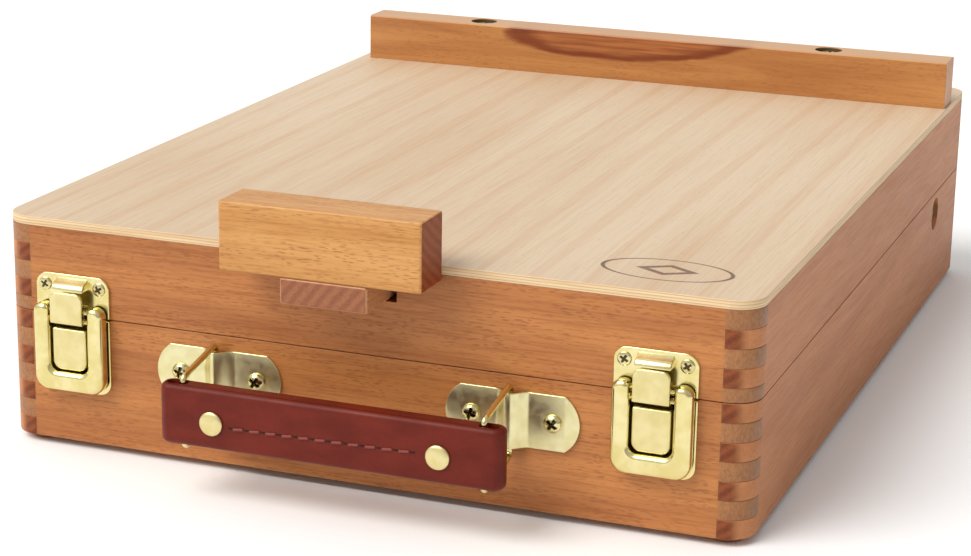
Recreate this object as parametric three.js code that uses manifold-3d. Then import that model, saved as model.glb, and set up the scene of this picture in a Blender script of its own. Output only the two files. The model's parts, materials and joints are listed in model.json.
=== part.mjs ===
// Tabletop box easel: a finger-jointed beech paint box whose lid tilts up on back hinges.
// The lid carries a canvas ledge at its hinge side and a mast that slides out at its free side.
// Millimetres, +Z up. The box faces -Y (latches and handle); the hinges are on +Y.
// The origin is on the floor, under the middle of the whole object's footprint.
import * as THREE from "three";
import { mergeVertices } from "three/addons/utils/BufferGeometryUtils.js";
import Module from "manifold-3d";

const wasm = await Module();
wasm.setup();

// ---- Box ----
const WIDTH = 305; // left to right, outside
const DEPTH = 405; // front to back, outside
const CORNER_R = 11; // rounding of the four upright corners
const BOARD = 12; // thickness of the solid boards
const CASE_WALL = 51.8; // height of the case boards
const LID_WALL = 34.5; // height of the lid boards
const CASE_FINGERS = 7; // fingers up a case corner; the side boards own the lowest
const LID_FINGERS = 5; // fingers up a lid corner; the front and back boards own the lowest
const CASE_LOWEST = 7.4; // height of the lowest case finger
const LID_LOWEST = 5.3; // height of the lowest lid finger, left by the cut between lid and case
const GLUE_LINE = 0.1; // gap between jointed pieces
const BOTTOM_PLY = 3.2;
const BOTTOM_LIP = 7; // board left outside the bottom sheet's rebate
const PANEL_PLY = 3.5;
const SEAM_GAP = 0.4; // between the case boards and the lid boards

// ---- Feet and dividers ----
const FOOT_H = 3;
const FOOT_R = 7;
const FOOT_INSET = 11; // foot centre from the two nearest outer faces
const DIVIDER = 6; // thickness
const DIVIDER_H = 28;
const TUBE_ROOM = 95.5; // inner face of the left board to the long divider's middle
const DIVIDER_Y = 215; // middle of the short divider, from the front face
const DIVIDER_PLAY = 0.3; // end and joint clearance

// ---- Canvas ledge ----
const LEDGE_INSET = [5.5, 1]; // left and right end, in from the side of the box
const LEDGE_BACK = 36; // its back face to the back of the box
const LEDGE_D = 18.2;
const LEDGE_H = 22.3;
const LEDGE_CHAMFER = 0.8;
const LEDGE_SCREW_INSET = 59.5; // screw to the nearest end of the ledge
const LEDGE_BORE_R = 6.6; // counterbore
const LEDGE_BORE_DEPTH = 4;
const LEDGE_SCREW_R = 2; // shank
const LEDGE_HEAD_R = 5.6;
const LEDGE_HEAD_H = 2.6;

// ---- Mast and clamp block ----
const MAST_X = -5.6; // middle of the mast
const MAST_W = 35;
const MAST_T = 10;
const MAST_L = 330;
const MAST_OUT = 21; // how far it stands out of the front when closed
const MAST_DROP = 2.1; // its top below the lid panel
const MAST_PLAY = 3; // each side, in the front board's notch
const MAST_CHAMFER = 0.6;
const MAST_EDGE_R = 1.2; // rounding of its upright corners
const NOTCH_FLOOR = 0.7; // notch floor below the mast
const BLOCK_W = 81;
const BLOCK_H = 26.6;
const BLOCK_X = -1.7; // block middle from mast middle
const BLOCK_GAP = 0.5; // block to box front
const BLOCK_CHAMFER = 0.5;
const BLOCK_EDGE_R = 1.2;
const GUIDE_CHEEK = 12; // wood each side of the mast
const GUIDE_BRIDGE = 6; // wood under the mast
const GUIDE_PLAY = 0.5;
const GUIDE_Y = [70, 250]; // middles of the two guides, from the front
const GUIDE_L = [40, 22];
const KNOB_STUD_R = 3;
const KNOB_R = 11;
const KNOB_H = 11;
const KNOB_NECK = 1.5; // from the guide's underside to the knob
const KNOB_NECK_R = 5;
const KNOB_ROUND = 2; // rounding of the knob's rim
const KNOB_FLUTES = 6;
const FLUTE_R = 3.2;
const FLUTE_DEPTH = 1.8;

// ---- Hinges ----
const HINGE_INSET = 60.5; // hinge middle to the side of the box
const HINGE_W = 50;
const LEAF_H = 22;
const LEAF_T = 1.4;
const KNUCKLE_R = 3;
const KNUCKLE_CLEAR = 0.2; // knuckle to the box's back
const KNUCKLES = 3; // the case leaf has the odd ones
const KNUCKLE_GAP = 0.4;
const HINGE_PIN_R = 1.2;
const PIN_HEAD_R = 2;
const PIN_HEAD_H = 1;
const PIN_END_GAP = 0.3; // knuckle to the pin's head
const PIN_PLAY = 0.15;
const LEAF_NOTCH = 0.4; // leaf edge to the other leaf's knuckle

// ---- Stays ----
const PIVOT_BACK = 65.4; // pivot bolt to the back of the box
const PIVOT_DROP = 10.5; // pivot bolt below the case's upper edge
const STAY_KNOB_Y = 160; // lid knob, from the front, with the lid shut
const STAY_END_Y = 80.24; // middle of the arm's round front end, from the front, lid shut
const STAY_END_GAP = 1.79; // that end to the panel above it
const STAY_W = 13;
const STAY_T = 1.8;
const STAY_SIDE_GAP = 0.8; // board to arm
const STAY_SLOT_W = 5.6;
const STAY_SLOT_BEFORE = 31.43; // slot behind the lid knob, with the lid shut
const STAY_SLOT_END = 3.25; // end of the slot to the middle of the arm's round end
const BOLT_R = 2.5;
const BOLT_HEAD_R = 6.2;
const BOLT_HEAD_H = 3;
const BOLT_RECESS_R = 7.8;
const BOLT_RECESS = 4.4;
const BOLT_END_R = 4.6;
const BOLT_END_T = 1.8;
const STAY_KNOB_R = 8;
const STAY_KNOB_T = 7;
const STAY_PLAY = 0.3;

// ---- Latches: places are from the middle of the seam ----
const LATCH_INSET = [31, 36.7]; // left and right latch, middle to the side of the box
const LATCH_W = 32;
const LATCH_T = 1.2; // plate thickness
const CATCH_H = 16.4;
const CATCH_R = 5;
const BASE_H = 30.6;
const BASE_R = 5;
const NOSE_W = 13.6;
const NOSE_H = 3.9;
const NOSE_OUT = 5.6;
const CATCH_SCREW_X = 11.8;
const CATCH_SCREW_Z = 12.2;
const PAD_W = 14.8;
const PAD_TOP = -4.2;
const PAD_BOTTOM = -21.2;
const PAD_OUT = 5;
const PAD_R = 3;
const LEVER_PIN_Y = -4.2;
const LEVER_PIN_Z = 2.9;
const LEVER_W = 30.4;
const LEVER_ARM = 7; // width of each arm
const LEVER_TOP = 2.6; // arm top above its pin
const LEVER_BOTTOM = -30;
const LEVER_BAR = 8.1; // height of the bar that joins the arms
const LEVER_BACK = -2.2;
const LEVER_FRONT = -6.6;
const LEVER_BEVEL = 1.3;
const LEVER_R = 6; // outer corners
const LEVER_INNER_R = 3; // inner corners
const LEVER_TIP_R = 3.4; // outer corners of the arms' upper ends
const LEVER_PIN_BITE = 1.6; // each pin's end inside an arm
const LEVER_PIN_R = 0.7;
const BARREL_R = 1.5;
const BARREL_W = 11.2;
const BARREL_PLAY = 0.2;
const TONGUE_ARM = 3.8; // lever pin to tongue pin
const TONGUE_W = 14;
const TONGUE_ROLL_R = 1.2;
const TONGUE_FRONT = -7;
const TONGUE_T = 1;
const TONGUE_TOP = 10.8;
const TONGUE_R = 3;
const PAD_BEVEL = 0.6;
const NECK_GAP = 0.5; // plate to the neck that carries the barrel
const NECK_T = 0.9;
const NECK_HOOK = 1; // half the height of the neck's turn into the barrel

// ---- Handle ----
const HANDLE_DROP = 16.2; // its middle below the case's upper edge
const BRACKET_GAP = [20.75, 12.05]; // left and right, bracket to the next latch
const BRACKET_W = 52.5;
const BRACKET_T = 1.1;
const BRACKET_ROOM = 3.2; // bracket's edge to the wire's arm, up and down
const BRACKET_END_R = 13; // radius of the rounded ends
const RIDGE_HALF_W = 6.8;
const RIDGE_STEPS = 14;
const RIDGE_PLAY = 0.5; // wire to the ridge in front of it
const BRACKET_SCREW_X = 16;
const RING_R = 1.2; // wire radius
const RING_BACK_GAP = 1.7; // wire to the box's front
const RING_OUT = 27.2; // bar to bar
const RING_DROP = 5; // outer bar below the inner
const RING_BEND_R = 2.4;
const RING_JOINT = 0.6; // butt gap, hidden in the ridge
const GRIP_H = 23.4;
const GRIP_T = 9;
const GRIP_END = 8.4; // beyond the ring's bar
const GRIP_ROOM = 2.3; // grip's edge to the middle of the wire's arm
const GRIP_EYE_PLAY = 0.7; // wire to its eye in the grip
const GRIP_END_R = 3.8; // rounding of the ends in plan
const GRIP_BEVEL = 1.4;
const RIVET_INSET = 14.8; // rivet to the ring's bar
const RIVET_SHIFT = -1.1; // both rivets, from the grip's middle
const RIVET_DROP = 1.3; // both rivets, below the grip's middle line
const RIVET_R = 4.7;
const RIVET_DOME = 1.7;
const RIVET_RIM = 0.6; // upright edge under the dome
const RIVET_SHANK_R = 1.6;
const RIVET_PLAY = 0.15;

// ---- Small screws with a cross recess ----
const SCREW_R = 1.3; // shank
const SCREW_L = 9; // shank, from the plate's front
const SCREW_PLAY = 0.15;
const PAN_HEAD_R = 3.3;
const PAN_HEAD_H = 2.2;
const CATCH_HEAD_R = 2.7;
const CATCH_HEAD_H = 1;
const HEAD_RIM = 0.45; // upright rim, share of the head's height
const CROSS_DEPTH = 0.45; // share of the head's height
const CROSS_WIDTH = 0.28; // share of the head's radius
const CROSS_REACH = 0.62; // share of the head's radius

const SIDES = ["left", "right"];
const SEGMENTS = 16; // sides of a turned piece
const FINE_SEGMENTS = 24;
const COARSE_SEGMENTS = 12;
const ARC_STEPS = 3; // half the steps of a rounded corner
const OVERCUT = 1; // a cutter's reach beyond the face it opens

// ---- Levels and places that follow ----
const CASE_Z = FOOT_H;
const FLOOR_Z = CASE_Z + BOTTOM_PLY; // just above the bottom sheet
const CASE_TOP = CASE_Z + CASE_WALL;
const LID_Z = CASE_TOP + SEAM_GAP;
const SEAM_Z = CASE_TOP + SEAM_GAP / 2;
const PANEL_Z = LID_Z + LID_WALL;
const PANEL_TOP = PANEL_Z + PANEL_PLY;
const MAST_TOP = PANEL_Z - MAST_DROP;
const MAST_Z = MAST_TOP - MAST_T;
const GUIDE_Z = MAST_Z - GUIDE_PLAY - GUIDE_BRIDGE;
const DIVIDER_X = -WIDTH / 2 + BOARD + TUBE_ROOM;
const LEDGE_L = WIDTH - LEDGE_INSET[0] - LEDGE_INSET[1];
const LEDGE_X = (LEDGE_INSET[0] - LEDGE_INSET[1]) / 2;
const LEDGE_SCREW_X = LEDGE_L / 2 - LEDGE_SCREW_INSET;
const LEDGE_Y = DEPTH - LEDGE_BACK - LEDGE_D; // its front face, from the front of the box
const HINGE_X = WIDTH / 2 - HINGE_INSET;
const HINGE_OUT = KNUCKLE_R + KNUCKLE_CLEAR; // hinge axis behind the box's back
const PIVOT_Y = DEPTH - PIVOT_BACK;
const PIVOT_Z = CASE_TOP - PIVOT_DROP;
const STAY_END_DY = STAY_END_Y - PIVOT_Y;
const STAY_END_DZ = PANEL_Z - STAY_END_GAP - STAY_W / 2 - PIVOT_Z;
const STAY_L = Math.hypot(STAY_END_DY, STAY_END_DZ); // pivot to the middle of the arm's end
const STAY_KNOB_DY = STAY_KNOB_Y - PIVOT_Y;
const STAY_KNOB_DZ = (STAY_KNOB_DY * STAY_END_DZ) / STAY_END_DY; // on the arm's middle line
const STAY_SLOT_START = Math.hypot(STAY_KNOB_DY, STAY_KNOB_DZ) - STAY_SLOT_BEFORE;
const LATCH_X = [-WIDTH / 2 + LATCH_INSET[0], WIDTH / 2 - LATCH_INSET[1]];
const BRACKET_X = [-1, 1].map(
  (side, i) => LATCH_X[i] - side * (LATCH_W / 2 + BRACKET_GAP[i] + BRACKET_W / 2),
);
const BRACKET_PITCH = BRACKET_X[1] - BRACKET_X[0];
const HANDLE_X = (BRACKET_X[0] + BRACKET_X[1]) / 2;
const HANDLE_Z = CASE_TOP - HANDLE_DROP;
const RING_BAR_Y = -RING_BACK_GAP - RING_R;
const RING_BAR_H = GRIP_H + 2 * GRIP_ROOM; // upright bars, between wire centres
const BRACKET_H = RING_BAR_H - 2 * BRACKET_ROOM;
const RIDGE_H = RING_BACK_GAP + 2 * RING_R + RIDGE_PLAY; // room under the ridge
const GRIP_EYE_R = RING_R + GRIP_EYE_PLAY;
const RIVET_X = [-1, 1].map((side) => side * (BRACKET_PITCH / 2 - RIVET_INSET) + RIVET_SHIFT);
const FRONT_REACH = RING_OUT - RING_BAR_Y + GRIP_T / 2 + RIVET_DOME;
const BACK_REACH = HINGE_OUT + KNUCKLE_R;

const material = (color, roughness, metalness) =>
  new THREE.MeshStandardMaterial({ color, roughness, metalness });
const BEECH = material(0xc1824f, 0.5, 0);
const BEECH_PALE = material(0xd79e62, 0.5, 0);
const PLYWOOD = material(0xdfc5a8, 0.6, 0);
const BRASS = material(0xdcc68c, 0.25, 1);
const LEATHER = material(0x743020, 0.55, 0);
const RUBBER = material(0x3a2a22, 0.8, 0);

// ---- Geometry helpers ----

// A surface as a closed solid, for cutting and joining.
function solid(geometry) {
  const bare = geometry.clone().deleteAttribute("normal").deleteAttribute("uv");
  const merged = mergeVertices(bare, 1e-4);
  return new wasm.Manifold(
    new wasm.Mesh({
      numProp: 3,
      vertProperties: new Float32Array(merged.attributes.position.array),
      triVerts: new Uint32Array(merged.index.array),
    }),
  );
}

// A solid as a flat-faceted surface.
function geometryOf(body) {
  const { vertProperties, triVerts } = body.getMesh();
  const geometry = new THREE.BufferGeometry();
  geometry.setAttribute("position", new THREE.BufferAttribute(vertProperties, 3));
  geometry.setIndex(new THREE.BufferAttribute(triVerts, 1));
  const flat = geometry.toNonIndexed();
  flat.computeVertexNormals();
  return flat;
}

const join = (first, ...rest) => rest.reduce((body, next) => body.add(next), first);
const cut = (first, ...rest) => rest.reduce((body, next) => body.subtract(next), first);

function mesh(name, shape, look, x = 0, y = 0, z = 0) {
  const geometry = shape.isBufferGeometry ? shape : geometryOf(shape);
  const made = new THREE.Mesh(geometry, look);
  made.name = name;
  made.position.set(x, y, z);
  return made;
}

function group(members, x = 0, y = 0, z = 0) {
  const made = new THREE.Group();
  made.add(...members);
  made.position.set(x, y, z);
  return made;
}

// A box between two corners.
function box(x0, x1, y0, y1, z0, z1) {
  const geometry = new THREE.BoxGeometry(x1 - x0, y1 - y0, z1 - z0);
  return geometry.translate((x0 + x1) / 2, (y0 + y1) / 2, (z0 + z1) / 2);
}

const boxSolid = (...corners) => solid(box(...corners));

// A rectangle about the origin, or with its lower edge at y0, with rounded corners.
function roundedRect(width, height, radius, y0 = -height / 2) {
  const [x, r] = [width / 2, radius];
  const y1 = y0 + height;
  const shape = new THREE.Shape();
  shape.absarc(x - r, y0 + r, r, -Math.PI / 2, 0);
  shape.absarc(x - r, y1 - r, r, 0, Math.PI / 2);
  shape.absarc(-x + r, y1 - r, r, Math.PI / 2, Math.PI);
  shape.absarc(-x + r, y0 + r, r, Math.PI, (3 * Math.PI) / 2);
  shape.closePath();
  return shape;
}

function extrude(shape, depth, bevel = 0) {
  const geometry = new THREE.ExtrudeGeometry(shape, {
    depth: depth - 2 * bevel,
    curveSegments: ARC_STEPS,
    bevelEnabled: bevel > 0,
    bevelThickness: bevel,
    bevelSize: bevel,
    bevelOffset: -bevel,
    bevelSegments: 1,
  });
  return geometry.translate(0, 0, bevel);
}

// A plan outline (x, y) raised from z0.
const slab = (shape, z0, height, bevel = 0) => extrude(shape, height, bevel).translate(0, 0, z0);

// A front outline (x, z) with its back at y1, reaching forward by depth.
const plate = (shape, y1, depth, bevel = 0) =>
  extrude(shape, depth, bevel).rotateX(Math.PI / 2).translate(0, y1, 0);

// A side outline (y, z) carried along x from x0.
function sidePlate(shape, x0, width, bevel = 0) {
  const [ex, ey, ez] = [0, 1, 2].map((i) => new THREE.Vector3().setComponent(i, 1));
  const turn = new THREE.Matrix4().makeBasis(ey, ez, ex);
  return extrude(shape, width, bevel).applyMatrix4(turn).translate(x0, 0, 0);
}

// A turned piece about +Y: [radius, height] points from its lower end to its upper end.
function turned(profile, sides = SEGMENTS) {
  const points = profile.map(([r, h]) => new THREE.Vector2(r, h));
  return new THREE.LatheGeometry(points, sides);
}

// Turned pieces laid along the other axes.
const facingFront = (geometry) => geometry.rotateX(Math.PI);
const facingUp = (geometry) => geometry.rotateX(Math.PI / 2);
const facingSide = (geometry, side) => geometry.rotateZ((-side * Math.PI) / 2);

function rod(radius, length, sides = SEGMENTS) {
  return turned([[0, 0], [radius, 0], [radius, length], [0, length]], sides);
}

const rodAlongX = (radius, length, y, z, sides = COARSE_SEGMENTS) =>
  solid(facingSide(rod(radius, length, sides), 1).translate(-length / 2, y, z));

// [radius, height] points of a dome that rises from its rim at base, edge to top.
const dome = (radius, base, rise) =>
  [1, 0.85, 0.5, 0].map((share) => [radius * share, base + rise * Math.sqrt(1 - share * share)]);

// Two crossed slots for a screw head, about +Y with the head's top at height.
function crossRecess(radius, headHeight, top) {
  const reach = radius * CROSS_REACH;
  const half = (radius * CROSS_WIDTH) / 2;
  const low = top - headHeight * CROSS_DEPTH;
  const high = top + headHeight;
  return join(
    boxSolid(-reach, reach, low, high, -half, half),
    boxSolid(-half, half, low, high, -reach, reach),
  );
}

// A screw about +Y, its head's underside at height 0, with a domed, crossed head.
function screw(headR, headH, shankR, shankL) {
  const rim = headH * HEAD_RIM;
  const shank = [[0, -shankL], [shankR, -shankL], [shankR, 0]];
  const profile = [...shank, [headR, 0], ...dome(headR, rim, headH - rim)];
  return cut(solid(turned(profile, COARSE_SEGMENTS)), crossRecess(headR, headH, headH));
}

const screwHole = (x, z, radius, y0, y1) =>
  solid(facingFront(rod(radius, y1 - y0, COARSE_SEGMENTS)).translate(x, y1, z));

// ---- Case and lid boards ----

// Four boards that make a ring with finger joints, cut to the box's rounded outline.
// lowest is the height of the lowest finger, and the others share the rest evenly.
// sideOwnsLowest says whether the side boards have the lowest finger.
function jointedRing(z0, height, fingers, lowest, sideOwnsLowest) {
  const outline = solid(
    slab(roundedRect(WIDTH, DEPTH, CORNER_R), z0, height).translate(0, DEPTH / 2, 0),
  );
  const pitch = (height - lowest) / (fingers - 1);
  const level = (i) => z0 + lowest + (i - 1) * pitch; // foot of finger i
  const [half, gap] = [WIDTH / 2, GLUE_LINE];
  const [outX, outY] = [half + OVERCUT, DEPTH + OVERCUT];
  const boards = {
    front: boxSolid(-half, half, 0, BOARD, z0, z0 + height),
    back: boxSolid(-half, half, DEPTH - BOARD, DEPTH, z0, z0 + height),
    left: boxSolid(-half, -half + BOARD, 0, DEPTH, z0, z0 + height),
    right: boxSolid(half - BOARD, half, 0, DEPTH, z0, z0 + height),
  };
  for (let i = 0; i < fingers; i += 1) {
    const low = i === 0 ? z0 - OVERCUT : level(i) - gap / 2;
    const high = i === fingers - 1 ? z0 + height + OVERCUT : level(i + 1) + gap / 2;
    const sideOwns = (i % 2 === 0) === sideOwnsLowest;
    const cutters = sideOwns
      ? [
        boxSolid(half - BOARD - gap, outX, -OVERCUT, outY, low, high),
        boxSolid(-outX, -half + BOARD + gap, -OVERCUT, outY, low, high),
      ]
      : [
        boxSolid(-outX, outX, -OVERCUT, BOARD + gap, low, high),
        boxSolid(-outX, outX, DEPTH - BOARD - gap, outY, low, high),
      ];
    for (const name of sideOwns ? ["front", "back"] : ["left", "right"]) {
      boards[name] = cut(boards[name], ...cutters);
    }
  }
  for (const name of Object.keys(boards)) boards[name] = boards[name].intersect(outline);
  return boards;
}

const latchScrewXs = LATCH_X.flatMap((x) => [x - CATCH_SCREW_X, x + CATCH_SCREW_X]);
const bracketScrewXs = BRACKET_X.flatMap((x) => [x - BRACKET_SCREW_X, x + BRACKET_SCREW_X]);
const screwBottom = SCREW_L + SCREW_PLAY; // depth of a screw hole in a board

function caseBoards() {
  const boards = jointedRing(CASE_Z, CASE_WALL, CASE_FINGERS, CASE_LOWEST, true);
  for (const x of bracketScrewXs) {
    const hole = screwHole(x, HANDLE_Z, SCREW_R + SCREW_PLAY, -OVERCUT, screwBottom);
    boards.front = cut(boards.front, hole);
  }
  for (const [name, side] of [["left", -1], ["right", 1]]) {
    const face = (side * WIDTH) / 2;
    const bore = facingSide(rod(BOLT_R + STAY_PLAY, BOARD + 2 * OVERCUT), side);
    const recess = facingSide(rod(BOLT_RECESS_R, BOLT_RECESS + OVERCUT, FINE_SEGMENTS), side);
    boards[name] = cut(
      boards[name],
      solid(bore.translate(face - side * (BOARD + OVERCUT), PIVOT_Y, PIVOT_Z)),
      solid(recess.translate(face - side * BOLT_RECESS, PIVOT_Y, PIVOT_Z)),
    );
  }
  const half = WIDTH / 2 - BOTTOM_LIP;
  const [front, back] = [BOTTOM_LIP, DEPTH - BOTTOM_LIP];
  const rebate = boxSolid(-half, half, front, back, CASE_Z - OVERCUT, FLOOR_Z);
  for (const name of Object.keys(boards)) boards[name] = cut(boards[name], rebate);
  return boards;
}

function lidBoards() {
  const boards = jointedRing(LID_Z, LID_WALL, LID_FINGERS, LID_LOWEST, false);
  const half = MAST_W / 2 + MAST_PLAY;
  const floor = MAST_Z - NOTCH_FLOOR;
  boards.front = cut(
    boards.front,
    boxSolid(MAST_X - half, MAST_X + half, -OVERCUT, BOARD + OVERCUT, floor, PANEL_Z + OVERCUT),
  );
  for (const x of latchScrewXs) {
    const z = SEAM_Z + CATCH_SCREW_Z;
    const hole = screwHole(x, z, SCREW_R + SCREW_PLAY, -OVERCUT, screwBottom);
    boards.front = cut(boards.front, hole);
  }
  return boards;
}

function boxCase() {
  const boards = caseBoards();
  const inner = { x: WIDTH / 2 - BOARD - DIVIDER_PLAY, y: BOARD + DIVIDER_PLAY };
  const top = FLOOR_Z + DIVIDER_H;
  const footXs = [-1, 1].map((side) => side * (WIDTH / 2 - FOOT_INSET));
  const footYs = [FOOT_INSET, DEPTH - FOOT_INSET];
  const foot = [[0, 0], [0.75, 0], [0.95, 0.45], [1, 1], [0, 1]].map(([r, h]) => [
    r * FOOT_R,
    h * FOOT_H,
  ]);
  const edge = BOTTOM_LIP + GLUE_LINE;
  const ceiling = FLOOR_Z - GLUE_LINE;
  const bottom = box(-WIDTH / 2 + edge, WIDTH / 2 - edge, edge, DEPTH - edge, CASE_Z, ceiling);
  const [x0, x1] = [DIVIDER_X - DIVIDER / 2, DIVIDER_X + DIVIDER / 2];
  const [y0, y1] = [DIVIDER_Y - DIVIDER / 2, DIVIDER_Y + DIVIDER / 2];
  const longDivider = box(x0, x1, inner.y, DEPTH - inner.y, FLOOR_Z, top);
  const shortDivider = box(x1 + DIVIDER_PLAY, inner.x, y0, y1, FLOOR_Z, top);
  return group([
    ...Object.entries(boards).map(([side, body]) => mesh("case_" + side, body, BEECH)),
    mesh("case_bottom", bottom, PLYWOOD),
    ...footXs.flatMap((x, i) =>
      footYs.map((y, j) => {
        const name = "foot_" + ["front", "back"][j] + "_" + SIDES[i];
        return mesh(name, facingUp(turned(foot)), RUBBER, x, y, 0);
      }),
    ),
    mesh("divider_long", longDivider, BEECH_PALE),
    mesh("divider_short", shortDivider, BEECH_PALE),
  ]);
}

// ---- Lid with its canvas ledge ----

function ledge() {
  const half = LEDGE_D / 2;
  const c = LEDGE_CHAMFER;
  const section = new THREE.Shape([
    new THREE.Vector2(-half, 0),
    new THREE.Vector2(half, 0),
    new THREE.Vector2(half, LEDGE_H - c),
    new THREE.Vector2(half - c, LEDGE_H),
    new THREE.Vector2(-half + c, LEDGE_H),
    new THREE.Vector2(-half, LEDGE_H - c),
  ]);
  const seat = LEDGE_H - LEDGE_BORE_DEPTH;
  const bar = solid(sidePlate(section, -LEDGE_L / 2, LEDGE_L));
  const bores = [-1, 1].flatMap((side) => {
    const x = side * LEDGE_SCREW_X;
    const wide = facingUp(rod(LEDGE_BORE_R, LEDGE_BORE_DEPTH + OVERCUT, FINE_SEGMENTS));
    const narrow = facingUp(rod(LEDGE_SCREW_R + SCREW_PLAY, LEDGE_H + 2 * OVERCUT));
    return [solid(wide.translate(x, 0, seat)), solid(narrow.translate(x, 0, -OVERCUT))];
  });
  const shank = seat + PANEL_PLY;
  const screws = [-1, 1].map((side, i) => {
    const body = geometryOf(screw(LEDGE_HEAD_R, LEDGE_HEAD_H, LEDGE_SCREW_R, shank));
    return mesh("ledge_screw_" + SIDES[i], facingUp(body), BRASS, side * LEDGE_SCREW_X, 0, seat);
  });
  const members = [mesh("canvas_ledge", cut(bar, ...bores), BEECH), ...screws];
  return group(members, LEDGE_X, LEDGE_Y + half, PANEL_TOP);
}

function lidPanel() {
  const sheet = slab(roundedRect(WIDTH, DEPTH, CORNER_R), PANEL_Z, PANEL_PLY);
  const holes = [-1, 1].map((side) => {
    const hole = facingUp(rod(LEDGE_SCREW_R + SCREW_PLAY, PANEL_PLY + 2 * OVERCUT));
    const y = LEDGE_Y + LEDGE_D / 2;
    return solid(hole.translate(LEDGE_X + side * LEDGE_SCREW_X, y, PANEL_Z - OVERCUT));
  });
  return cut(solid(sheet.translate(0, DEPTH / 2, 0)), ...holes);
}

// ---- Mast, its guides and its knob ----

function mastGuide(index) {
  const inner = MAST_W / 2 + GUIDE_PLAY;
  const outer = inner + GUIDE_CHEEK;
  const [y0, y1] = [-1, 1].map((side) => GUIDE_Y[index] + (side * GUIDE_L[index]) / 2);
  const body = boxSolid(MAST_X - outer, MAST_X + outer, y0, y1, GUIDE_Z, PANEL_Z - GLUE_LINE);
  const [front, back, floor] = [y0 - OVERCUT, y1 + OVERCUT, MAST_Z - GUIDE_PLAY];
  return cut(body, boxSolid(MAST_X - inner, MAST_X + inner, front, back, floor, PANEL_Z));
}

function mastKnob() {
  const studTop = MAST_Z - GUIDE_PLAY;
  const headTop = GUIDE_Z - KNOB_NECK;
  const [r, h, stud] = [KNOB_R, KNOB_H, studTop - headTop];
  const face = r - KNOB_ROUND;
  const profile = [
    [0, -h], [face, -h], [r, -h + KNOB_ROUND], [r, -KNOB_ROUND], [face, 0], [KNOB_NECK_R, 0],
    [KNOB_NECK_R, KNOB_NECK / 2], [KNOB_STUD_R, KNOB_NECK / 2], [KNOB_STUD_R, stud], [0, stud],
  ];
  const flutes = Array.from({ length: KNOB_FLUTES }, (_, i) => {
    const angle = (2 * Math.PI * i) / KNOB_FLUTES;
    const reach = r - FLUTE_DEPTH + FLUTE_R;
    const [x, y] = [reach * Math.cos(angle), reach * Math.sin(angle)];
    const flute = facingUp(rod(FLUTE_R, h + 2 * OVERCUT, COARSE_SEGMENTS));
    return solid(flute.translate(x, y, -h - OVERCUT));
  });
  const body = cut(solid(facingUp(turned(profile, FINE_SEGMENTS))), ...flutes);
  return mesh("mast_knob", body, BRASS, MAST_X, GUIDE_Y[0], headTop);
}

function mastAssembly() {
  const bar = slab(roundedRect(MAST_W, MAST_L, MAST_EDGE_R), MAST_Z, MAST_T, MAST_CHAMFER);
  const blockD = MAST_OUT - BLOCK_GAP;
  const block = slab(roundedRect(BLOCK_W, blockD, BLOCK_EDGE_R), 0, BLOCK_H, BLOCK_CHAMFER);
  const [blockX, blockY] = [MAST_X + BLOCK_X, -BLOCK_GAP - blockD / 2];
  const studHole = facingUp(rod(KNOB_STUD_R + GUIDE_PLAY, GUIDE_BRIDGE + 2 * OVERCUT));
  studHole.translate(MAST_X, GUIDE_Y[0], GUIDE_Z - OVERCUT);
  const guide = cut(mastGuide(0), solid(studHole));
  return group([
    mesh("mast", bar, BEECH_PALE, MAST_X, MAST_L / 2 - MAST_OUT, 0),
    mesh("clamp_block", block, BEECH_PALE, blockX, blockY, MAST_TOP + GLUE_LINE),
    mesh("mast_guide_front", guide, BEECH_PALE),
    mesh("mast_guide_rear", mastGuide(1), BEECH_PALE),
    mastKnob(),
  ]);
}

// ---- Butt hinge about an axis at the origin along x; up is 1 for the lid leaf, -1 for the case ----

function hingeLeaf(up) {
  const back = -HINGE_OUT;
  const edge = Math.sqrt(KNUCKLE_R ** 2 - (KNUCKLE_R - LEAF_T) ** 2) + LEAF_NOTCH;
  const [z0, z1] = up > 0 ? [edge, LEAF_H] : [-LEAF_H, -edge];
  const [w, step] = [HINGE_W / 2, HINGE_W / KNUCKLES];
  let leaf = boxSolid(-w, w, back, back + LEAF_T, z0, z1);
  for (let i = 0; i < KNUCKLES; i += 1) {
    const owner = i % 2 === 0 ? -1 : 1;
    if (owner !== up) continue;
    const [x0, x1] = [-w + i * step + KNUCKLE_GAP / 2, -w + (i + 1) * step - KNUCKLE_GAP / 2];
    const barrel = facingSide(rod(KNUCKLE_R, x1 - x0), 1).translate(x0, 0, 0);
    const web = up > 0 ? [SEAM_GAP, z0 + OVERCUT] : [z1 - OVERCUT, -SEAM_GAP];
    leaf = join(leaf, boxSolid(x0, x1, back, back + LEAF_T, ...web), solid(barrel));
  }
  return cut(leaf, rodAlongX(HINGE_PIN_R + PIN_PLAY, HINGE_W + 2 * OVERCUT, 0, 0));
}

function hinge(name) {
  const end = HINGE_W / 2 + PIN_END_GAP;
  const capped = end + PIN_HEAD_H;
  const face = (PIN_HEAD_R + HINGE_PIN_R) / 2;
  const pin = turned([
    [0, -capped], [face, -capped], [PIN_HEAD_R, -end], [HINGE_PIN_R, -end],
    [HINGE_PIN_R, end], [PIN_HEAD_R, end], [face, capped], [0, capped],
  ]);
  return [
    mesh("hinge_case_leaf_" + name, hingeLeaf(-1), BRASS),
    mesh("hinge_lid_leaf_" + name, hingeLeaf(1), BRASS),
    mesh("hinge_pin_" + name, facingSide(pin, 1), BRASS),
  ];
}

// ---- Stay: slotted arm on a bolt in the case side, with its knob on the lid side ----

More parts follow.
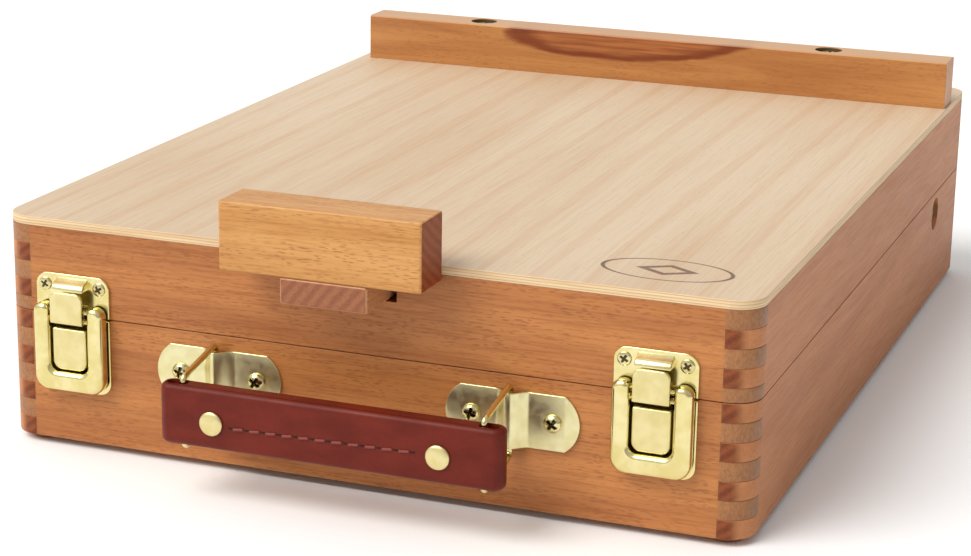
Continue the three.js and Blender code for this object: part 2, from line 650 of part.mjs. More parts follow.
function stay(name, side) {
  const r = STAY_W / 2;
  const arm = new THREE.Shape();
  arm.absarc(0, 0, r, Math.PI / 2, (3 * Math.PI) / 2);
  arm.absarc(STAY_L, 0, r, -Math.PI / 2, Math.PI / 2);
  arm.closePath();
  const slot = new THREE.Path();
  const slotR = STAY_SLOT_W / 2;
  slot.absarc(STAY_L - STAY_SLOT_END, 0, slotR, Math.PI / 2, -Math.PI / 2, true);
  slot.absarc(STAY_SLOT_START, 0, slotR, -Math.PI / 2, -(3 * Math.PI) / 2, true);
  slot.closePath();
  arm.holes = [slot];
  const wall = side * (WIDTH / 2 - BOARD);
  const armX = wall - side * (STAY_SIDE_GAP + STAY_T / 2);
  const armBody = cut(
    solid(sidePlate(arm, -STAY_T / 2, STAY_T)),
    rodAlongX(BOLT_R + STAY_PLAY, STAY_T + 2 * OVERCUT, 0, 0),
  );
  const armMesh = mesh("stay_arm_" + name, armBody, BRASS, armX, PIVOT_Y, PIVOT_Z);
  armMesh.rotation.x = Math.atan2(STAY_END_DZ, STAY_END_DY);

  const seat = BOARD - BOLT_RECESS;
  const inside = -STAY_SIDE_GAP - STAY_T - STAY_PLAY;
  const bolt = turned([
    [0, inside - BOLT_END_T], [BOLT_END_R * 0.8, inside - BOLT_END_T],
    [BOLT_END_R, inside - BOLT_END_T / 2], [BOLT_END_R, inside], [BOLT_R, inside],
    [BOLT_R, seat + GLUE_LINE], [BOLT_HEAD_R, seat + GLUE_LINE],
    [BOLT_HEAD_R, seat + BOLT_HEAD_H * 0.55], [BOLT_HEAD_R * 0.8, seat + BOLT_HEAD_H * 0.85],
    [0, seat + BOLT_HEAD_H],
  ]);
  const knobTop = STAY_SIDE_GAP + STAY_T + STAY_PLAY;
  const knob = turned([
    [0, -knobTop - STAY_KNOB_T], [STAY_KNOB_R * 0.5, -knobTop - STAY_KNOB_T],
    [STAY_KNOB_R * 0.6, -knobTop - STAY_KNOB_T * 0.6], [STAY_KNOB_R, -knobTop - STAY_KNOB_T * 0.5],
    [STAY_KNOB_R, -knobTop - STAY_KNOB_T * 0.1], [STAY_KNOB_R * 0.9, -knobTop], [0, -knobTop],
  ]);
  const knobZ = PIVOT_Z + STAY_KNOB_DZ;
  return [
    armMesh,
    mesh("stay_bolt_" + name, facingSide(bolt, side), BRASS, wall, PIVOT_Y, PIVOT_Z),
    mesh("stay_knob_" + name, facingSide(knob, side), BRASS, wall, STAY_KNOB_Y, knobZ),
  ];
}

// ---- Toggle latch, about the seam's middle on the box's front face ----

function catchPlate() {
  const body = solid(plate(roundedRect(LATCH_W, CATCH_H, CATCH_R, SEAM_GAP), 0, LATCH_T));
  const z0 = TONGUE_TOP + SEAM_GAP;
  const section = new THREE.Shape();
  section.moveTo(-LATCH_T / 2, z0);
  section.lineTo(-LATCH_T / 2, z0 + NOSE_H);
  section.quadraticCurveTo(-NOSE_OUT, z0 + NOSE_H, -NOSE_OUT, z0 + NOSE_H * 0.3);
  section.lineTo(-NOSE_OUT, z0);
  section.closePath();
  const nose = solid(sidePlate(section, -NOSE_W / 2, NOSE_W));
  const lower = boxSolid(-LATCH_W / 2, LATCH_W / 2, -LATCH_T, 0, SEAM_GAP, SEAM_GAP + CATCH_R);
  const holes = [-1, 1].map((side) =>
    screwHole(side * CATCH_SCREW_X, CATCH_SCREW_Z, SCREW_R + SCREW_PLAY, -LATCH_T - OVERCUT, OVERCUT),
  );
  return cut(join(body, lower, nose), ...holes);
}

function basePlate() {
  const outline = roundedRect(LATCH_W, BASE_H, BASE_R, -SEAM_GAP - BASE_H);
  const half = LATCH_W / 2;
  const upper = boxSolid(-half, half, -LATCH_T, 0, -SEAM_GAP - BASE_R, -SEAM_GAP);
  const padOutline = roundedRect(PAD_W, PAD_TOP - PAD_BOTTOM, PAD_R, PAD_BOTTOM);
  const pad = plate(padOutline, 0, PAD_OUT, PAD_BEVEL);
  const neckBack = -LATCH_T - NECK_GAP;
  const neckFront = neckBack - NECK_T;
  const [hookTop, hookLow] = [LEVER_PIN_Z + NECK_HOOK, LEVER_PIN_Z - NECK_HOOK];
  const section = new THREE.Shape([
    new THREE.Vector2(neckBack, PAD_TOP - PAD_R),
    new THREE.Vector2(neckBack, hookTop),
    new THREE.Vector2(LEVER_PIN_Y, hookTop),
    new THREE.Vector2(LEVER_PIN_Y, hookLow),
    new THREE.Vector2(neckFront, hookLow),
    new THREE.Vector2(neckFront, PAD_TOP - PAD_R),
  ]);
  const body = join(
    solid(plate(outline, 0, LATCH_T)), upper, solid(pad),
    solid(sidePlate(section, -BARREL_W / 2, BARREL_W)),
    rodAlongX(BARREL_R, BARREL_W, LEVER_PIN_Y, LEVER_PIN_Z),
  );
  const bore = LEVER_PIN_R + BARREL_PLAY;
  return cut(body, rodAlongX(bore, BARREL_W + 2 * OVERCUT, LEVER_PIN_Y, LEVER_PIN_Z));
}

function latchLever() {
  const [outer, inner] = [LEVER_W / 2, LEVER_W / 2 - LEVER_ARM];
  const top = LEVER_PIN_Z + LEVER_TOP;
  const [tipR, innerR] = [LEVER_TIP_R, LEVER_INNER_R];
  const bar = LEVER_BOTTOM + LEVER_BAR;
  const quarter = Math.PI / 2;
  const shape = new THREE.Shape();
  shape.absarc(outer - LEVER_R, LEVER_BOTTOM + LEVER_R, LEVER_R, -quarter, 0);
  shape.absarc(outer - tipR, top - tipR, tipR, 0, quarter);
  shape.lineTo(inner, top);
  shape.absarc(inner - innerR, bar + innerR, innerR, 0, -quarter, true);
  shape.absarc(-inner + innerR, bar + innerR, innerR, -quarter, -2 * quarter, true);
  shape.lineTo(-inner, top);
  shape.absarc(-outer + tipR, top - tipR, tipR, quarter, 2 * quarter);
  shape.absarc(-outer + LEVER_R, LEVER_BOTTOM + LEVER_R, LEVER_R, 2 * quarter, 3 * quarter);
  shape.closePath();
  const frame = plate(shape, LEVER_BACK, LEVER_BACK - LEVER_FRONT, LEVER_BEVEL);
  const pinL = 2 * (inner + LEVER_PIN_BITE);
  return join(
    solid(frame),
    rodAlongX(LEVER_PIN_R, pinL, LEVER_PIN_Y, LEVER_PIN_Z),
    rodAlongX(LEVER_PIN_R, pinL, LEVER_PIN_Y, LEVER_PIN_Z - TONGUE_ARM),
  );
}

function latchTongue() {
  const rollZ = LEVER_PIN_Z - TONGUE_ARM;
  const bottom = rollZ - TONGUE_ROLL_R;
  const outline = roundedRect(TONGUE_W, TONGUE_TOP - bottom, TONGUE_R, bottom);
  const half = TONGUE_W / 2;
  const [rollTop, back] = [rollZ + TONGUE_ROLL_R, TONGUE_FRONT + TONGUE_T];
  const lower = boxSolid(-half, half, TONGUE_FRONT, back, bottom, bottom + TONGUE_R);
  const web = boxSolid(-half, half, back - TONGUE_T / 2, LEVER_PIN_Y, bottom, rollTop);
  const body = join(
    solid(plate(outline, back, TONGUE_T)), lower, web,
    rodAlongX(TONGUE_ROLL_R, TONGUE_W, LEVER_PIN_Y, rollZ),
  );
  const bore = LEVER_PIN_R + BARREL_PLAY;
  return cut(body, rodAlongX(bore, TONGUE_W + 2 * OVERCUT, LEVER_PIN_Y, rollZ));
}

function latch(name, x) {
  const screws = [-1, 1].map((side, i) => {
    const body = geometryOf(screw(CATCH_HEAD_R, CATCH_HEAD_H, SCREW_R, SCREW_L + LATCH_T));
    const place = [side * CATCH_SCREW_X, -LATCH_T, CATCH_SCREW_Z];
    return mesh("catch_screw_" + name + "_" + (i + 1), facingFront(body), BRASS, ...place);
  });
  return group([
    mesh("catch_plate_" + name, catchPlate(), BRASS),
    mesh("latch_base_" + name, basePlate(), BRASS),
    mesh("latch_lever_" + name, latchLever(), BRASS),
    mesh("latch_tongue_" + name, latchTongue(), BRASS),
    ...screws,
  ], x, 0, SEAM_Z);
}

// ---- Carrying handle ----

// Height of the strip's inner face over the box: a raised cosine ridge at the middle.
const ridge = (x) =>
  Math.abs(x) < RIDGE_HALF_W ? RIDGE_H * (0.5 + 0.5 * Math.cos((Math.PI * x) / RIDGE_HALF_W)) : 0;

function bracket() {
  const half = BRACKET_W / 2;
  const xs = Array.from(
    { length: RIDGE_STEPS + 1 },
    (_, i) => RIDGE_HALF_W * ((2 * i) / RIDGE_STEPS - 1),
  );
  const inner = [-half, ...xs, half].map((x) => new THREE.Vector2(x, -ridge(x)));
  const outer = [half, ...xs.toReversed(), -half].map(
    (x) => new THREE.Vector2(x, -ridge(x) - BRACKET_T),
  );
  const strip = slab(new THREE.Shape([...inner, ...outer]), -BRACKET_H / 2, BRACKET_H);
  const angle = Math.asin(BRACKET_H / 2 / BRACKET_END_R);
  const outline = new THREE.Shape();
  outline.absarc(half - BRACKET_END_R, 0, BRACKET_END_R, -angle, angle);
  outline.absarc(-half + BRACKET_END_R, 0, BRACKET_END_R, Math.PI - angle, Math.PI + angle);
  outline.closePath();
  const reach = RIDGE_H + BRACKET_T + 2 * OVERCUT;
  const body = solid(strip).intersect(solid(plate(outline, OVERCUT, reach)));
  const holes = [-1, 1].map((side) =>
    screwHole(side * BRACKET_SCREW_X, 0, SCREW_R + SCREW_PLAY, -BRACKET_T - OVERCUT, OVERCUT),
  );
  return cut(body, ...holes);
}

// A wire parallelogram, butted inside the ridge: two upright bars and two drooping arms.
function ring() {
  const h = RING_BAR_H / 2;
  const corners = [
    [0, RING_JOINT / 2], [0, h], [-RING_OUT, h - RING_DROP],
    [-RING_OUT, -h - RING_DROP], [0, -h], [0, -RING_JOINT / 2],
  ].map(([y, z]) => new THREE.Vector3(0, y, z));
  const path = new THREE.CurvePath();
  let start = corners[0];
  for (let i = 1; i < corners.length - 1; i += 1) {
    const corner = corners[i];
    const before = corner.clone().add(
      corners[i - 1].clone().sub(corner).setLength(RING_BEND_R),
    );
    const after = corner.clone().add(
      corners[i + 1].clone().sub(corner).setLength(RING_BEND_R),
    );
    path.add(new THREE.LineCurve3(start, before));
    path.add(new THREE.QuadraticBezierCurve3(before, corner, after));
    start = after;
  }
  path.add(new THREE.LineCurve3(start, corners.at(-1)));
  const wire = new THREE.Shape();
  wire.absarc(0, 0, RING_R, 0, 2 * Math.PI);
  return new THREE.ExtrudeGeometry(wire, { extrudePath: path, steps: 30, curveSegments: 4 });
}

function grip() {
  const length = BRACKET_PITCH + 2 * GRIP_END;
  const outline = roundedRect(length, GRIP_T, GRIP_END_R);
  const eyes = [-1, 1].map((side) => {
    const eye = facingUp(rod(GRIP_EYE_R, GRIP_H + 2 * OVERCUT, COARSE_SEGMENTS));
    return solid(eye.translate((side * BRACKET_PITCH) / 2, 0, -GRIP_H / 2 - OVERCUT));
  });
  const holes = RIVET_X.map((x) =>
    screwHole(x, -RIVET_DROP, RIVET_SHANK_R + RIVET_PLAY, -GRIP_T, GRIP_T),
  );
  return cut(solid(slab(outline, -GRIP_H / 2, GRIP_H, GRIP_BEVEL)), ...eyes, ...holes);
}

function rivet() {
  const half = GRIP_T / 2;
  const top = dome(RIVET_R, half + RIVET_RIM, RIVET_DOME - RIVET_RIM);
  const upper = [[RIVET_SHANK_R, half], [RIVET_R, half], ...top];
  const lower = upper.map(([r, h]) => [r, -h]).toReversed();
  return facingFront(turned([...lower, ...upper]));
}

function handle() {
  const brackets = BRACKET_X.flatMap((x, i) => {
    const name = SIDES[i];
    const screws = [-1, 1].map((side, j) => {
      const body = geometryOf(screw(PAN_HEAD_R, PAN_HEAD_H, SCREW_R, SCREW_L + BRACKET_T));
      const place = [x + side * BRACKET_SCREW_X, -BRACKET_T, 0];
      return mesh("bracket_screw_" + name + "_" + (j + 1), facingFront(body), BRASS, ...place);
    });
    return [
      mesh("handle_bracket_" + name, bracket(), BRASS, x, 0, 0),
      mesh("handle_ring_" + name, ring(), BRASS, x, RING_BAR_Y, 0),
      ...screws,
    ];
  });
  const gripY = RING_BAR_Y - RING_OUT;
  const rivets = RIVET_X.map((x, i) =>
    mesh("rivet_" + SIDES[i], rivet(), BRASS, HANDLE_X + x, gripY, -RING_DROP - RIVET_DROP),
  );
  return group([
    ...brackets,
    mesh("handle_grip", grip(), LEATHER, HANDLE_X, gripY, -RING_DROP),
    ...rivets,
  ], 0, 0, HANDLE_Z);
}

// ---- The whole easel ----

const lidMeshes = Object.entries(lidBoards()).map(([side, body]) =>
  mesh("lid_" + side, body, BEECH),
);
const easel = group([
  boxCase(),
  group([...lidMeshes, mesh("lid_panel", lidPanel(), PLYWOOD), ledge()]),
  mastAssembly(),
  group(hinge("left"), -HINGE_X, DEPTH + HINGE_OUT, SEAM_Z),
  group(hinge("right"), HINGE_X, DEPTH + HINGE_OUT, SEAM_Z),
  group([...stay("left", -1), ...stay("right", 1)]),
  ...LATCH_X.map((x, i) => latch(SIDES[i], x)),
  handle(),
], 0, (FRONT_REACH - DEPTH - BACK_REACH) / 2, 0);

export default easel;
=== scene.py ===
"""Tabletop box easel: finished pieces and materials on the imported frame.

Every point is worked out in millimetres in the model's own frame (x to the right, y from the
latches to the hinges, z up) and turned into metres when its mesh is made.
"""

import json
import math

import bmesh
import bpy
import numpy as np
from mathutils import Matrix, Vector


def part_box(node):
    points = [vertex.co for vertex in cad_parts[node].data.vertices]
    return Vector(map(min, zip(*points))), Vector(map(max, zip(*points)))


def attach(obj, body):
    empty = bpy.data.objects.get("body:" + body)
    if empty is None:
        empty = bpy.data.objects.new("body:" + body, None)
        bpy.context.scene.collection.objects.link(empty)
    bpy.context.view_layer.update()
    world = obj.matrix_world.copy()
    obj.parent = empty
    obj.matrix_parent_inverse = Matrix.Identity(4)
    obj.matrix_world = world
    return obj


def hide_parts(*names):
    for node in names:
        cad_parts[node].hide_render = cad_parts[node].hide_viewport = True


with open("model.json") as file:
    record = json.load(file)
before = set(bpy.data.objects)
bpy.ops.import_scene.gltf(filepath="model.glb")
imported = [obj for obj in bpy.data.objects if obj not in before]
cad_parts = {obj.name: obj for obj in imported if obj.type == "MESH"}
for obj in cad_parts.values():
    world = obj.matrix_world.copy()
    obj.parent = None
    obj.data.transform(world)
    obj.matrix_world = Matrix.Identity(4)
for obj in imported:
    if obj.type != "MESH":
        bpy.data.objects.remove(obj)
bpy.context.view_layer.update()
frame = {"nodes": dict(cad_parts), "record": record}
MM = 0.001
SIDES = {"left": -1, "right": 1}


def span(part):
    """Lowest and highest corner of a CAD node, in millimetres."""
    low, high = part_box(part)
    return np.array(low) / MM, np.array(high) / MM


def middle(part):
    """Centre of a CAD node's box, in millimetres."""
    low, high = span(part)
    return (low + high) / 2


FACE_Y = span("case_front")[0][1]  # the box's front face
BACK_Y = span("case_back")[1][1]
HALF_W = span("case_front")[1][0]
SEAM_Z = (span("case_front")[1][2] + span("lid_front")[0][2]) / 2

# ---- Camera ----

CAMERA_AT = (349.0, -988.9, 339.2)
AZIMUTH, ELEVATION, ROLL = (math.radians(angle) for angle in (20.47, 16.21, 0.95))


def make_camera():
    """A long lens at the front right, above the lid, rolled by about a degree."""
    data = bpy.data.cameras.new("camera")
    data.lens, data.sensor_width = 90.81, 36.0
    data.clip_start, data.clip_end = 0.05, 50.0
    back = Vector((math.sin(AZIMUTH) * math.cos(ELEVATION),
                   -math.cos(AZIMUTH) * math.cos(ELEVATION), math.sin(ELEVATION)))
    right = Vector((math.cos(AZIMUTH), math.sin(AZIMUTH), 0.0))
    up = back.cross(right)
    right = right * math.cos(ROLL) + up * math.sin(ROLL)
    up = back.cross(right)
    turn = Matrix((right, up, back)).transposed().to_4x4()
    camera = bpy.data.objects.new("camera", data)
    camera.matrix_world = Matrix.Translation(Vector(CAMERA_AT) * MM) @ turn
    bpy.context.scene.collection.objects.link(camera)
    bpy.context.scene.camera = camera


# ---- Nodes ----

COORDS, MAPPING, PARTS = "ShaderNodeTexCoord", "ShaderNodeMapping", "ShaderNodeSeparateXYZ"
MIX, RANGE, BUMP = "ShaderNodeMix", "ShaderNodeMapRange", "ShaderNodeBump"
MATH, VECTORS = "ShaderNodeMath", "ShaderNodeVectorMath"
NOISE, CELLS, WAVE = "ShaderNodeTexNoise", "ShaderNodeTexVoronoi", "ShaderNodeTexWave"

# Settings that recur: a mix of colours reads inputs 0, 6 and 7 and gives output 2, and a range
# carries input 0 smoothly from inputs 1..2 to 3..4.
TINT = {"data_type": "RGBA"}
STAIN = {"data_type": "RGBA", "blend_type": "MULTIPLY"}
SMOOTH = {"interpolation_type": "SMOOTHSTEP"}


def linear(hex_colour):
    """An sRGB hex colour as linear RGBA."""
    value = hex_colour.lstrip("#")
    shares = [int(value[i:i + 2], 16) / 255 for i in (0, 2, 4)]
    return tuple(s / 12.92 if s <= 0.04045 else ((s + 0.055) / 1.055) ** 2.4
                 for s in shares) + (1.0,)


def node(tree, kind, inputs=None, output=0, **settings):
    """A new node with its settings and its inputs, each a value or a socket; gives an output."""
    made = tree.nodes.new(kind)
    for name, value in settings.items():
        setattr(made, name, value)
    for key, value in (inputs or {}).items():
        if isinstance(value, bpy.types.NodeSocket):
            tree.links.new(value, made.inputs[key])
        else:
            made.inputs[key].default_value = value
    return made.outputs[output] if made.outputs else None


def in_sizes(tree, sizes, at=(0.0, 0.0, 0.0)):
    """Object coordinates from a place, counted in a pattern's sizes; both in millimetres.

    A size of None leaves that axis out.
    """
    scale = [0.0 if size is None else 1 / (size * MM) for size in sizes]
    start = [-place * MM * factor for place, factor in zip(at, scale)]
    return node(tree, MAPPING, {"Vector": node(tree, COORDS, output="Object"),
                                "Location": start, "Scale": scale})


def clouds(tree, sizes, detail=3.0, rough=0.55, distortion=0.0, reach=None, share=(0.0, 1.0)):
    """A cloudy pattern whose patches have the given sizes in millimetres.

    With reach, it is carried smoothly from reach's two levels to share's.
    """
    cloud = node(tree, NOISE, {"Vector": in_sizes(tree, sizes), "Scale": 1.0, "Detail": detail,
                               "Roughness": rough, "Distortion": distortion})
    if reach is None:
        return cloud
    return node(tree, RANGE, {0: cloud, 1: reach[0], 2: reach[1], 3: share[0], 4: share[1]},
                **SMOOTH)


def material_of(name, make_surface, *details, **more):
    """A material whose shader's inputs are what make_surface gives for its node tree."""
    material = bpy.data.materials.new(name)
    material.use_nodes = True
    tree = material.node_tree
    tree.nodes.clear()
    inputs = make_surface(tree, *details, **more)
    shader = node(tree, "ShaderNodeBsdfPrincipled", inputs)
    node(tree, "ShaderNodeOutputMaterial", {"Surface": shader})
    return material


# ---- Wood ----

JOINT_STRIP = ("#9c6e46", "#835637")  # greyish tan that the rounded, jointed corners weather to


def along_grain(axis, along, across):
    """Pattern sizes with the long one on the grain's axis."""
    return tuple(along if i == axis else across for i in range(3))


def beech_grain(tree, axis, light, dark, fleck, streak=0.28, flecks=0.55):
    """Broad soft bands, fine fibres and short dark ray flecks; gives colour, fibres and rays.

    Bands are about 13 mm wide, fibres 0.8 mm. Flecks are some 3 mm long and half a millimetre
    thick: the near parts of cells of 4.6 by 0.8 mm, shifted by a slow noise and fading in places.
    """
    bands = clouds(tree, along_grain(axis, 170, 13), 3.0, 0.5, 0.8, (0.30, 0.70))
    colour = node(tree, MIX, {0: bands, 6: linear(light), 7: linear(dark)}, 2, **TINT)
    fibre = clouds(tree, along_grain(axis, 22, 0.8), 3.0, 0.6)
    streaks = node(tree, RANGE, {0: fibre, 1: 0.40, 2: 0.75, 4: streak}, **SMOOTH)
    colour = node(tree, MIX, {0: streaks, 6: colour, 7: linear(dark)}, 2, **STAIN)
    wander = clouds(tree, along_grain(axis, 9, 5), 1.0)
    shift = node(tree, MATH, {0: wander, 1: 1.6}, operation="MULTIPLY")
    place = node(tree, VECTORS, {0: in_sizes(tree, along_grain(axis, 4.6, 0.8)), 1: shift},
                 operation="ADD")
    cells = node(tree, CELLS, {"Vector": place, "Scale": 1.0}, "Distance", feature="F1")
    near = node(tree, RANGE, {0: cells, 1: 0.42, 2: 0.20, 4: flecks}, **SMOOTH)
    patchy = clouds(tree, along_grain(axis, 40, 7), 1.0, reach=(0.35, 0.65), share=(0.4, 1.0))
    rays = node(tree, MATH, {0: near, 1: patchy}, operation="MULTIPLY")
    return node(tree, MIX, {0: rays, 6: colour, 7: linear(fleck)}, 2, **TINT), fibre, cells


def end_grain(tree, axis, pale, deep, lean):
    """Growth rings about 2 mm apart, leaning by an angle in degrees, with fine open pores."""
    turn = tuple(math.radians(lean) if i == axis else 0.0 for i in range(3))
    place = node(tree, MAPPING, {"Vector": node(tree, COORDS, output="Object"),
                                 "Rotation": turn, "Scale": (1 / 0.0125,) * 3})
    rings = node(tree, WAVE, {"Vector": place, "Scale": 1.0, "Distortion": 1.4, "Detail": 2.0,
                              "Detail Scale": 1.2}, "Fac",
                 wave_type="BANDS", bands_direction="Z")
    soft = node(tree, RANGE, {0: rings}, **SMOOTH)
    tone = node(tree, MIX, {0: soft, 6: linear(pale), 7: linear(deep)}, 2, **TINT)
    pores = clouds(tree, (0.7, 0.7, 0.7), 2.0, 0.7, reach=(0.45, 0.75), share=(0.0, 0.35))
    return node(tree, MIX, {0: pores, 6: tone, 7: linear(deep)}, 2, **STAIN)


def jointed_strip(tree, axis, colour, rings):
    """Tan hatched strip over the corner: a front board's ends, and end grain's outer half.

    It fades in over 3 mm about 12 mm from the side, and on end grain about 6 mm from it.
    """
    x = node(tree, PARTS, {0: node(tree, COORDS, output="Object")})
    across = node(tree, MATH, {0: x}, operation="ABSOLUTE")
    hatch = clouds(tree, (0.8, 0.8, 1.6), 2.0, 0.7, reach=(0.35, 0.7))
    strip = node(tree, MIX, {0: hatch, 6: linear(JOINT_STRIP[0]), 7: linear(JOINT_STRIP[1])},
                 2, **TINT)
    if axis == 0:
        near_end = node(tree, RANGE, {0: across, 1: (HALF_W - 13.4) * MM,
                                      2: (HALF_W - 10.6) * MM, 4: 0.75}, **SMOOTH)
        colour = node(tree, MIX, {0: near_end, 6: colour, 7: strip}, 2, **TINT)
    outer = node(tree, RANGE, {0: across, 1: (HALF_W - 7.6) * MM, 2: (HALF_W - 4.2) * MM,
                               4: 0.75}, **SMOOTH)
    return colour, node(tree, MIX, {0: outer, 6: rings, 7: strip}, 2, **TINT)


def beech(tree, axis, light, dark, fleck, end, jointed=False, rough=0.42, gloss=0.4, lean=35.0,
          **detail):
    """Varnished beech with its grain on one axis, and end grain where a face looks along it."""
    colour, fibre, cells = beech_grain(tree, axis, light, dark, fleck, **detail)
    rings = end_grain(tree, axis, end[0], end[1], lean)
    if jointed:
        colour, rings = jointed_strip(tree, axis, colour, rings)
    facing = node(tree, PARTS, {0: node(tree, COORDS, output="Normal")}, axis)
    steep = node(tree, MATH, {0: facing}, operation="ABSOLUTE")
    end_share = node(tree, RANGE, {0: steep, 1: 0.72, 2: 0.98}, **SMOOTH)
    colour = node(tree, MIX, {0: end_share, 6: colour, 7: rings}, 2, **TINT)
    raised = node(tree, MATH, {0: cells, 1: 0.6, 2: fibre}, operation="MULTIPLY_ADD")
    return {"Base Color": colour, "Specular IOR Level": gloss,
            "Roughness": node(tree, RANGE, {0: fibre, 1: 0.3, 2: 0.7, 3: rough - 0.05,
                                            4: rough + 0.07}, **SMOOTH),
            "Normal": node(tree, BUMP, {"Height": raised, "Distance": 0.12 * MM,
                                        "Strength": 0.2})}


def heartwood_boat(tree, colour):
    """A hanging boat of red heartwood on the ledge's front, over its beech colour.

    With u along the ledge and v down its face from the top edge, both in the boat's half length
    and depth, and v leaning with u, the boat is where u^2 + v^2 < 1, and a noise frays its edge.
    A dark rim goes round a middle of brown streaks.
    """
    boat_x, boat_half, boat_drop, lean = -7.0, 63.0, 12.5, 0.22
    top = span("canvas_ledge")[1][2]
    place = in_sizes(tree, (boat_half, None, -boat_drop), (boat_x, 0.0, top))
    parts = node(tree, PARTS, {0: place}).node
    leaning = node(tree, MATH, {0: parts.outputs[0], 1: lean, 2: parts.outputs[2]},
                   operation="MULTIPLY_ADD")
    square = node(tree, MATH, {0: parts.outputs[0], 1: parts.outputs[0]}, operation="MULTIPLY")
    reach = node(tree, MATH, {0: leaning, 1: leaning, 2: square}, operation="MULTIPLY_ADD")
    wander = clouds(tree, (22, 22, 7), 3.0)
    edge = node(tree, MATH, {0: wander, 1: 0.5, 2: reach}, operation="MULTIPLY_ADD")
    inside = node(tree, RANGE, {0: edge, 1: 1.38, 2: 1.12}, **SMOOTH)
    streaks = clouds(tree, (40, 40, 1.6), 2.0, reach=(0.38, 0.66))
    heart = node(tree, MIX, {0: streaks, 6: linear("#ab6534"), 7: linear("#853f1c")}, 2, **TINT)
    heart_share = node(tree, MATH, {0: inside, 1: 0.8}, operation="MULTIPLY")
    colour = node(tree, MIX, {0: heart_share, 6: colour, 7: heart}, 2, **TINT)
    near_rim = node(tree, RANGE, {0: edge, 1: 0.72, 2: 1.05, 4: 0.85}, **SMOOTH)
    rim = node(tree, MATH, {0: inside, 1: near_rim}, operation="MULTIPLY")
    return node(tree, MIX, {0: rim, 6: colour, 7: linear("#75300f")}, 2, **TINT)


def ledge_beech(tree):
    """Beech along the ledge, with heartwood, a top painted paler and greyer as a painted sheen, and
    painted shade in the counterbores.

    The counterbores' painted shade is where the distance to the nearer screw's axis is under 8 mm,
    below the
    top face: the ledge is mirrored about its middle, so one screw's place serves for both.
    """
    top = span("canvas_ledge")[1][2]
    colour, fibre, _ = beech_grain(tree, 0, "#c2864b", "#ad703b", "#8c5028", 0.2, 0.35)
    colour = heartwood_boat(tree, colour)
    # Painted sheen: faces that look up are painted paler and greyer.
    up = node(tree, PARTS, {0: node(tree, COORDS, output="Normal")}, 2)
    top_sheen = node(tree, RANGE, {0: up, 1: 0.5, 2: 0.9, 4: 0.8}, **SMOOTH)
    colour = node(tree, MIX, {0: top_sheen, 6: colour, 7: linear("#c9a077")}, 2, **TINT)
    # Painted shade: the counterbores' walls are painted dark brown.
    centre_x, screw = middle("canvas_ledge")[0], middle("ledge_screw_right")
    place = in_sizes(tree, (1.0, 1.0, None), (centre_x, screw[1], 0.0))
    mirrored = node(tree, VECTORS, {0: place}, operation="ABSOLUTE")
    off = node(tree, VECTORS, {0: mirrored, 1: (screw[0] - centre_x, 0.0, 0.0)}, "Value",
               operation="DISTANCE")
    near = node(tree, RANGE, {0: off, 1: 8.1, 2: 7.9}, **SMOOTH)
    height = node(tree, PARTS, {0: node(tree, COORDS, output="Object")}, 2)
    below = node(tree, RANGE, {0: height, 1: (top - 0.1) * MM, 2: (top - 0.7) * MM}, **SMOOTH)
    bore_shade = node(tree, MATH, {0: near, 1: below}, operation="MULTIPLY")
    colour = node(tree, MIX, {0: bore_shade, 6: colour, 7: linear("#4a3a1e")}, 2, **TINT)
    return {"Base Color": colour, "Specular IOR Level": 0.4,
            "Roughness": node(tree, RANGE, {0: fibre, 1: 0.3, 2: 0.7, 3: 0.36, 4: 0.48},
                              **SMOOTH),
            "Normal": node(tree, BUMP, {"Height": fibre, "Distance": 0.1 * MM, "Strength": 0.2})}


def burned_mark(tree, centre, half):
    """A share of 1 on a thin oval line and on a lozenge's outline within it, 0 elsewhere.

    With u and v counted in the oval's half axes, the oval is where sqrt(u^2 + v^2) is 1 and the
    lozenge where 2 |u| + 1.9 |v| is between 0.6 and 1. Only the panel's top face has it.
    """
    place = in_sizes(tree, (half[0], half[1], None), (centre[0], centre[1], 0.0))
    radius = node(tree, VECTORS, {0: place}, "Value", operation="LENGTH")
    off = node(tree, MATH, {0: radius, 1: 1.0}, operation="SUBTRACT")
    off = node(tree, MATH, {0: off}, operation="ABSOLUTE")
    oval = node(tree, RANGE, {0: off, 1: 0.045, 2: 0.020, 4: 0.85}, **SMOOTH)
    mirrored = node(tree, VECTORS, {0: place}, operation="ABSOLUTE")
    lozenge = node(tree, VECTORS, {0: mirrored, 1: (2.0, 1.9, 0.0)}, "Value",
                   operation="DOT_PRODUCT")
    solid = node(tree, RANGE, {0: lozenge, 1: 1.03, 2: 0.97, 4: 0.8}, **SMOOTH)
    hollow = node(tree, RANGE, {0: lozenge, 1: 0.62, 2: 0.56, 3: 1.0, 4: 0.0}, **SMOOTH)
    outline = node(tree, MATH, {0: solid, 1: hollow}, operation="MULTIPLY")
    lines = node(tree, MATH, {0: oval, 1: outline}, operation="MAXIMUM")
    face = span("lid_panel")[1][2]
    height = node(tree, PARTS, {0: node(tree, COORDS, output="Object")}, 2)
    on_top = node(tree, RANGE, {0: height, 1: (face - 0.3) * MM, 2: (face - 0.2) * MM}, **SMOOTH)
    return node(tree, MATH, {0: lines, 1: on_top}, operation="MULTIPLY")


